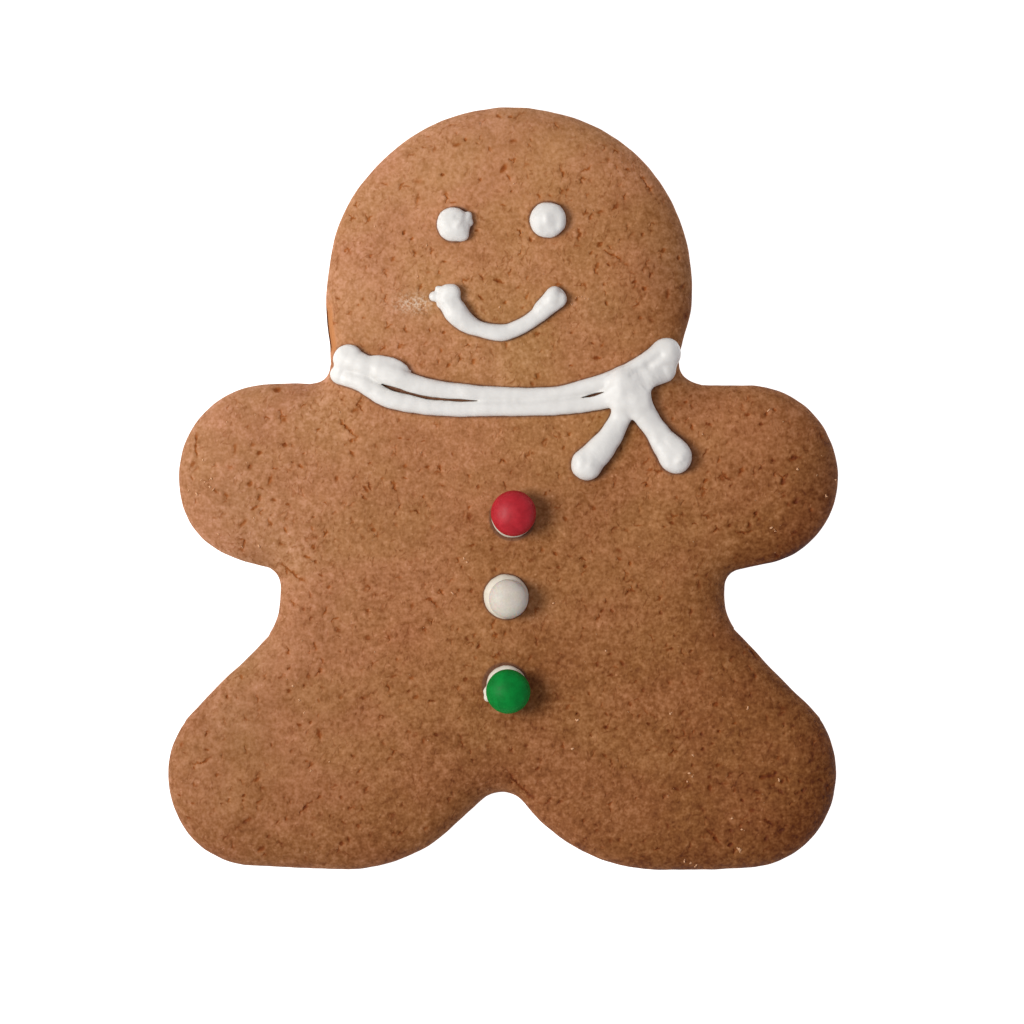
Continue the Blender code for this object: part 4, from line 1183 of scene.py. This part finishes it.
def top_heights(top, inset, flare):
    """Height of the crust without its pores. Where it flares, the side of the dough shows."""
    heights = cookie_top(top, inset) + SWELL_DROP * (inset < 0.2)
    grain = layered(top, [(1.9, 0.035), (0.9, 0.022)], SEED + 20)
    heights += grain * smoothstep(0.0, 0.8, inset)
    lip = WALL_TOP - 0.9 + 1.2 * np.minimum(inset, 1.15) / 1.15
    lip = lip + (heights - lip) * smoothstep(1.1, 1.6, inset)
    return heights + (lip - heights) * flare


def pit_at(top, pores):
    """How deep the pores are at each point, from 0 to 1, with uneven edges."""
    pit = np.zeros(len(top))
    warp = np.stack([lattice(top, 0.6, SEED + 24), lattice(top, 0.6, SEED + 25)], 1)
    warped = top + 0.22 * warp
    order = np.argsort(top[:, 0])
    sorted_x = top[order, 0]
    for pore in pores:
        x, _, length = pore[:3]
        first, last = np.searchsorted(sorted_x, (x - 1.1 * length, x + 1.1 * length))
        near = order[first:last]
        pit[near] = np.maximum(pit[near], pore_shape(warped[near], pore))
    return pit


def wall_rings():
    """The wall and the round under it, dented, as rings below the outline."""
    steps = [(0.0, level) for level in np.linspace(WALL_TOP, BASE_ROUND, 9)[1:]]
    for angle in np.radians([22.5, 45.0, 67.5, 90.0]):
        steps.append((BASE_ROUND * (1 - math.cos(angle)), BASE_ROUND * (1 - math.sin(angle))))
    rings = []
    for back, level in steps:
        places = np.column_stack([OUTLINE, np.full(len(OUTLINE), level * 1.4)])
        dents = layered(places, [(5.0, 0.10), (1.6, 0.07), (0.8, 0.04)], SEED + 40)
        hollow = np.maximum(layered(places, [(1.1, 1.0)], SEED + 44) - 0.45, 0.0) * 0.5
        # The dents fade out towards the top, and there are none at the underside.
        strength = min(1.0, (WALL_TOP - level) / 0.7) * (0.0 if level < 0.01 else 1.0)
        inwards = (np.maximum(dents + 0.08, 0.0) + hollow) * strength
        ring = OUTLINE - OUTWARD * back - OUTWARD * inwards[:, None]
        rings.append(np.column_stack([ring, np.full(len(ring), level)]))
    return rings


def make_cookie(material):
    """The baked cookie as one closed mesh: its top with pores, its wall and its underside."""
    rng = np.random.default_rng(SEED)
    pores = PORES + scattered_pores(PORE_COUNT, rng)
    for line, width, depth in scattered_tears(TEAR_COUNT, rng):
        pores += tear_steps(line, width, depth, rng)
    for line in CRACKS:
        pores += crack_steps(line, rng)

    top, top_faces, ring = triangulate(top_points(pores, rng), len(OUTLINE))
    inset = np.maximum(inset_at(top), 0.0)
    inset[ring] = 0.0
    flare = flare_at(top)
    pit = pit_at(top, pores)
    heights = top_heights(top, inset, flare) - PORE_DEPTH * pit

    side = wall_rings()
    count = len(OUTLINE)
    rings = [ring] + [len(top) + k * count + np.arange(count) for k in range(len(side))]
    wall_faces = []
    for upper, lower in zip(rings, rings[1:]):
        a, b, c, d = upper, np.roll(upper, -1), np.roll(lower, -1), lower
        wall_faces += [np.stack([a, d, c], 1), np.stack([a, c, b], 1)]

    # The underside, flat, with small dimples.
    spread = staggered(1.3, 1.12, 0.25, rng)
    spread = spread[inset_at(spread) > BASE_ROUND + 0.7]
    points = np.concatenate([side[-1][:, :2], spread])
    base, base_faces, base_ring = triangulate(points, count)
    dimples = np.maximum(layered(base, [(3.0, 0.25), (1.5, 0.2)], SEED + 50) - 0.08, 0.0)
    dimples[base_ring] = 0.0
    side = np.concatenate(side)
    renumber = len(top) + len(side) + np.arange(len(base))
    renumber[base_ring] = rings[-1]

    verts = np.concatenate(
        [np.column_stack([top, heights]), side, np.column_stack([base, dimples])]
    )
    faces = np.concatenate([top_faces, *wall_faces, renumber[base_faces][:, ::-1]])
    # What the material reads: on the top, on the side and on the underside.
    values = {
        "tone": (tone_at(top, inset), 0.46, 0.30),
        "pit": (pit, 0.0, 1.5 * dimples),
        "bare": (flare * (1.0 - smoothstep(0.9, 1.3, inset)), 0.0, 0.0),
        "flour": (flour_at(top), 0.0, 0.0),
        "contact_shade": (contact_shade_at(top), 0.0, 0.0),
        "grain": (grain_at(top), 1.0, 1.0),
        "hue": (hue_at(top, inset), 0.45, 0.45),
        "olive": (olive_at(top), 0.0, 0.0),
    }
    used = np.zeros(len(verts), bool)
    used[faces.reshape(-1)] = True
    attributes = {
        key: np.concatenate([above, np.full(len(side), wall), np.full(len(base), below)])[used]
        for key, (above, wall, below) in values.items()
    }
    faces = (used.cumsum() - 1)[faces]
    make_piece("baked_cookie", verts[used], faces, material, "cookie", attributes)


# ---------------------------------------------------------------- candies


def candy_form(colour, shift, stretch):
    """Middle and half size of a sugar-coated ball."""
    low, high = box_mm(f"candy_{colour}")
    half = 0.5 * (high - low) * stretch
    return np.append(0.5 * (low + high)[:2] + shift, low[2] + half[2]), half


def make_candy(colour, material, middle, half):
    """A sugar-coated ball, pressed a little flat and slightly uneven."""
    around, up = 96, 64
    turns = np.arange(around) * FULL_TURN / around
    rows = [
        (math.cos(r) * np.cos(turns), math.cos(r) * np.sin(turns), np.full(around, math.sin(r)))
        for r in (np.arange(1, up) / up - 0.5) * math.pi
    ]
    unit = np.concatenate([np.stack(row, 1) for row in rows] + [[[0, 0, -1.0]], [[0, 0, 1.0]]])
    bulge = 1.0 + layered(unit * 4.0, [(4.5, 0.018), (1.8, 0.006)], SEED + 70 + len(colour))
    verts = middle + unit * half * bulge[:, None]
    a = np.arange(around)
    b = (a + 1) % around
    faces = []
    for first in np.arange(up - 2) * around:
        faces += list(np.stack([a, b, b + around, a + around], 1) + first)
    last = (up - 2) * around
    bottom, top = (np.full(around, len(unit) - k) for k in (2, 1))
    faces += list(np.stack([bottom, b, a], 1)) + list(np.stack([a + last, b + last, top], 1))
    node = f"candy_{colour}"
    make_piece(f"sugar_candy_{colour}", verts, faces, material, node)


# ---------------------------------------------------------------- crumbs and flour


def twenty_faces():
    """Corners and faces of a regular solid of twenty triangles, with a radius of 1."""
    golden = (1.0 + math.sqrt(5.0)) / 2.0
    ball = []
    for a, b in itertools.product((-1, 1), (-golden, golden)):
        ball += [(a, b, 0), (0, a, b), (b, 0, a)]
    ball = np.array(ball) / math.hypot(1.0, golden)
    faces = []
    for trio in itertools.combinations(range(12), 3):
        p = ball[list(trio)]
        if max(np.linalg.norm(p[i] - p[(i + 1) % 3]) for i in range(3)) < 1.1:
            up = np.dot(np.cross(p[1] - p[0], p[2] - p[0]), p.mean(0)) > 0
            faces.append(trio if up else trio[::-1])
    return ball, np.array(faces)


def make_specks(material):
    """Crumbs and flour specks that lie on the cookie, as one mesh at their true size."""
    rng = np.random.default_rng(SEED + 3)
    places = []
    for x, y, size in SPECKS:
        places.append((x, y, 0.95 * size))
        for _ in range(rng.integers(1, 3)):
            dx, dy = rng.normal(0.0, 0.16, 2)
            places.append((x + dx, y + dy, size * rng.uniform(0.3, 0.6)))
    flour_count = len(places)
    tries = rng.uniform(OUTLINE.min(0), OUTLINE.max(0), (900, 2))
    good = (inset_at(tries) > 1.0) & (icing_cover(tries) > 0.6)
    for x, y in tries[good][:CRUMB_COUNT]:
        places.append((x, y, 0.13 + 0.2 * rng.beta(1.2, 3.5)))
    ball, ball_faces = twenty_faces()
    verts, faces = [], []
    for number, (x, y, size) in enumerate(places):
        shape = ball * rng.uniform(0.7, 1.15, (12, 1))
        stretch = np.array([rng.uniform(0.9, 1.9), rng.uniform(0.6, 1.0), 0.6])
        turn = rng.uniform(0, math.pi)
        c, s = math.cos(turn), math.sin(turn)
        shape = shape * stretch * 0.5 * size @ np.array([[c, s, 0], [-s, c, 0], [0, 0, 1]])
        z = cookie_top(np.array([[x, y]]))[0] + 0.06
        verts.append(shape + (x, y, z))
        faces.append(ball_faces + 12 * number)
    verts, faces = np.concatenate(verts), np.concatenate(faces)
    pale = (np.arange(len(verts)) < 12 * flour_count).astype(float)
    make_piece("flour_specks", verts, faces, material, None, {"pale": pale})


def specks_material():
    """Pale flour, or crumb that is browner."""
    s = Shader("flour_and_crumbs")
    mm = s.millimetres()
    shade = s.ramp(s.noise(mm, 2.5, 2.0), 0.35, 0.65)
    crumb = s.blend(shade, (0.42, 0.20, 0.09), (0.56, 0.32, 0.17))
    colour = s.blend(s.value("pale"), crumb, (0.67, 0.37, 0.20))
    normal = s.bump(s.noise(mm, 0.2, 2.0), 0.04, 0.5)
    rough = s.ramp(s.noise(mm, 1.0), 0.3, 0.7, 0.7, 0.9)
    return s.finish(Base_Color=colour, Roughness=rough, Normal=normal, Specular_IOR_Level=0.2)


# ---------------------------------------------------------------- building

make_cookie(gingerbread_material())
white_icing = icing_material("dried_icing", (0.755, 0.738, 0.700), (0.715, 0.698, 0.660))
cream_icing = icing_material("dried_icing_cream", (0.72, 0.675, 0.57), (0.68, 0.63, 0.52))
make_icing(
    "piped_scarf", "scarf", white_icing, step=0.143, seed=300, strands=SCARF, slits=SCARF_SLITS,
    lumps=[
        (-28.3, 25.15, 1, 0.95, 0.9, 0.6), (-27.4, 25.05, 1, 0.95, 0.9, 0.6),
        (-29.5, 23.5, 1.2, 1.5, 1.1, 0.6), (-29.4, 22.2, 1, 1.1, 1, 0.7),
        (-30.2, 20.95, 1, 1.4, 1, 0.6), (-23.6, 22.9, 0.9, 1.15, 0.6, 0.9),
        (-22.1, 22.7, 0.9, 1.15, 0.6, 0.9), (-20.6, 22.75, 0.9, 1.15, 0.6, 0.7),
        (-19.2, 22.3, 0.9, 1, 0.6, 0.6), (-18.1, 21.85, 0.8, 0.8, 0.5, 0.4),
        (-17.6, 21.2, 0.7, 0.6, 0.4, 0.25), (-20.2, 23.7, 0.6, 0.32, 0.3, 0.1),
        (-18.4, 22.65, 0.6, 0.28, 0.3, 0.1), (-17, 21.5, 0.5, 0.25, 0.3, 0.1),
        (30.05, 24.95, 1.4, 2.3, 1.6, 0.8), (29.7, 21.6, 0.9, 1.85, 0.9, 0.8),
        (27.2, 20.5, 1, 1.1, 0.8, 0.8), (22, 19.5, 1.8, 2.2, 1.3, 1.2),
        (24.7, 17.6, 1.5, 1.9, 0.9, 1.2), (21.6, 15.4, 1.7, 1.4, 1.1, 1.2),
    ],
    presses=[
        (-24.4, 23.6, -24.2, 18, 0.9, 0.12), (-28.6, 23.6, -27.8, 22.9, 0.8, -0.08),
        (23.6, 20.7, 26.6, 22.5, 0.75, 0.26), (26.6, 22.5, 28.7, 24.3, 0.7, 0.3),
        (30.2, 24.5, 30.7, 24.9, 0.8, -0.12), (25.5, 20.4, 26, 18.4, 0.8, 0.18),
        (27.2, 20.1, 27.6, 19.9, 0.5, -0.1), (21.2, 19.7, 21.6, 17.8, 0.9, -0.1),
        (24.4, 19.2, 25.3, 16.4, 0.9, 0.15), (26.5, 13.8, 28.8, 11, 0.8, 0.1),
        (32.1, 5, 32.6, 5.4, 0.65, -0.38), (29.8, 7.8, 31.2, 5.9, 2.4, 0.65),
        (31.3, 8.2, 32.2, 7.2, 1.2, 0.15), (16.3, 5.1, 16, 4.2, 0.6, -0.08),
        (13.9, 5.7, 14.1, 4.8, 0.8, -0.08), (15.1, 5.6, 15, 4, 0.5, 0.08),
        (21, 9.6, 18.9, 5.9, 0.9, 0.14),
    ],
)
make_icing(
    "piped_smile", "smile", white_icing, step=0.11, seed=340, strands=[SMILE, SMILE_DRIP],
    lumps=[
        (-11.85, 36.55, 0.8, 0.6, 0.6, 0.3), (-12.6, 35.15, 0.8, 0.85, 0.7, 0.5),
        (-11.5, 33.7, 0.7, 0.6, 0.5, 0.3), (-10.5, 36.15, 1.1, 1.1, 1, 0.5),
        (-9.3, 35.8, 1.3, 1.5, 1.2, 0.6), (-8.5, 32.4, 1.2, 1.8, 1.3, 0.8),
        (9.5, 34.95, 1.1, 1.95, 1.3, 0.6),
    ],
    presses=[
        (10.5, 36.1, 10.3, 34.1, 0.8, 0.3), (8, 34.9, 8.3, 34.2, 0.7, -0.08),
        (-7.7, 31, -6.9, 30.2, 0.9, -0.1), (-10.7, 33.6, -10.1, 32.2, 0.35, 0.08),
        (-8.8, 34.4, -8.4, 33.3, 0.6, 0.08),
    ],
)
make_icing(
    "piped_eye_left", "eye_left", white_icing, step=0.09, seed=380, lumpiness=0.05,
    lumps=[
        (-9.2, 48.55, 1, 2.85, 1.5, 0.5), (-8.8, 47.75, 1, 2.5, 1.4, 0.6),
        (-7.4, 46.3, 0.8, 1, 0.9, 0.5), (-6.7, 49.35, 0.7, 0.95, 0.8, 0.6),
        (-6.3, 50.05, 0.5, 0.65, 0.6, 0.5), (-6.05, 48.6, 0.5, 0.62, 0.6, 0.5),
    ],
    presses=[
        (-8.5, 47.9, -8, 48.7, 0.5, -0.14), (-8.6, 49.6, -8.2, 49.3, 0.45, 0.06),
        (-7, 49.4, -6.9, 47.8, 0.6, 0.1),
    ],
)
make_icing(
    "piped_eye_right", "eye_right", white_icing, step=0.09, seed=390, lumpiness=0.05,
    lumps=[(7.95, 49.1, 1.1, 3.05, 1.6, 0.5), (8.5, 49.1, 1.1, 2.95, 1.5, 0.5)],
    presses=[
        (7.8, 49.9, 7.95, 48.9, 0.55, -0.12), (9.5, 49.8, 9.6, 48.7, 0.9, 0.15),
        (9.3, 47.9, 7.7, 47.4, 0.7, 0.1),
    ],
)
# Drops of icing that each dot is made of: place beside the middle of the dot, radius beside
# its own, and height.
DOTS = {
    "red": [(0.02, 0.15, -0.24, 2.1)],
    "white": [(0.05, 0.0, 0.0, 2.1)],
    "green": [(0.26, 0.12, -0.42, 2.1), (-3.15, -1.0, -3.2, 0.8), (-3.1, -2.1, -3.25, 0.8)],
}
# Bright and deep colour, specular level and subsurface of the sugar.
SUGARS = {
    "red": ((0.45, 0.014, 0.024), (0.35, 0.007, 0.014), 0.30, 0.06),
    "white": ((0.62, 0.57, 0.50), (0.57, 0.52, 0.44), 0.30, 0.40),
    "green": ((0.0, 0.21, 0.030), (0.0, 0.15, 0.021), 0.12, 0.06),
}
# Place beside the solid's middle, and size beside the solid's.
CANDY_FORMS = {
    "red": candy_form("red", (0.1, 0.03), (1.02, 1.03, 1.0)),
    "white": candy_form("white", (0.0, 0.05), (0.98, 0.98, 0.87)),
    "green": candy_form("green", (0.05, 0.15), (1.01, 1.02, 1.0)),
}
for number, (colour, drops) in enumerate(DOTS.items()):
    low, high = box_mm(f"icing_dot_{colour}")
    x, y = 0.5 * (low + high)[:2]
    radius = 0.5 * (high - low)[0]
    make_icing(
        f"piped_dot_{colour}", f"icing_dot_{colour}", cream_icing, step=0.12,
        seed=SEED + 400 + 10 * number, lumpiness=0.03, hollow=CANDY_FORMS[colour],
        lumps=[(x + dx, y + dy, 0.5, radius + more, rise, 0.3) for dx, dy, more, rise in drops],
    )
for colour, sugar in SUGARS.items():
    make_candy(colour, candy_material(f"{colour}_sugar", *sugar), *CANDY_FORMS[colour])
make_specks(specks_material())

# ---------------------------------------------------------------- studio


def make_floor():
    """A plain pale floor, just under the cookie."""
    s = Shader("studio_floor")
    mm = s.millimetres()
    colour = s.blend(s.noise(mm, 60.0, 2.0), (0.58, 0.58, 0.58), (0.60, 0.60, 0.60))
    material = s.finish(Base_Color=colour, Roughness=0.9)
    s.surface.inputs["Emission Color"].default_value = (1.0, 1.0, 1.0, 1.0)
    s.surface.inputs["Emission Strength"].default_value = 1.0
    mesh = bpy.data.meshes.new("studio_floor")
    half = 3.0  # metres
    corners = [(-half, -half, 0.0), (half, -half, 0.0), (half, half, 0.0), (-half, half, 0.0)]
    mesh.from_pydata(corners, [], [(0, 1, 2, 3)])
    mesh.materials.append(material)
    floor = bpy.data.objects.new("studio_floor", mesh)
    floor.location.z = -0.02 * MM
    bpy.context.scene.collection.objects.link(floor)


def make_light(name, place, aim, size, energy, colour):
    """A round soft light that the camera doesn't see. Places and size are in metres."""
    data = bpy.data.lights.new(name, "AREA")
    data.shape = "DISK"
    data.size = size
    data.energy = energy
    data.color = colour
    light = bpy.data.objects.new(name, data)
    light.visible_camera = False
    light.location = place
    light.rotation_euler = (Vector(aim) - Vector(place)).to_track_quat("-Z", "Y").to_euler()
    bpy.context.scene.collection.objects.link(light)


# The frame takes in this width at this height above the underside, in metres, and the camera
# stands this far to the right of the middle of the cookie and up from it.
VIEW_WIDTH = 0.18765
VIEW_LEVEL = 0.006
VIEW_SHIFT = (0.00165, -0.0043)


def make_camera():
    """Straight above the cookie, with the head at the top of the picture."""
    low, high = cad_box
    middle = 0.5 * (low + high)
    data = bpy.data.cameras.new("camera")
    data.lens = 250.0
    data.sensor_width = 36.0
    data.clip_start = 0.01
    camera = bpy.data.objects.new("camera", data)
    distance = VIEW_WIDTH * data.lens / data.sensor_width
    right, up = VIEW_SHIFT
    camera.location = (middle.x + right, middle.y + up, VIEW_LEVEL + distance)
    bpy.context.scene.collection.objects.link(camera)
    bpy.context.scene.camera = camera


def make_world():
    """Soft light from all sides, as in a bright room."""
    world = bpy.data.worlds.new("soft_room")
    world.use_nodes = True
    background = world.node_tree.nodes["Background"]
    background.inputs["Color"].default_value = (0.96, 0.94, 1.02, 1.0)
    background.inputs["Strength"].default_value = 0.40
    bpy.context.scene.world = world
    bpy.context.scene.view_settings.view_transform = "Standard"


make_floor()
make_light(
    "window", place=(-0.38, 0.010, 0.47), aim=(0.0, 0.0, 0.0), size=0.30, energy=3.25,
    colour=(1.0, 0.99, 0.96),
)
make_world()
make_camera()
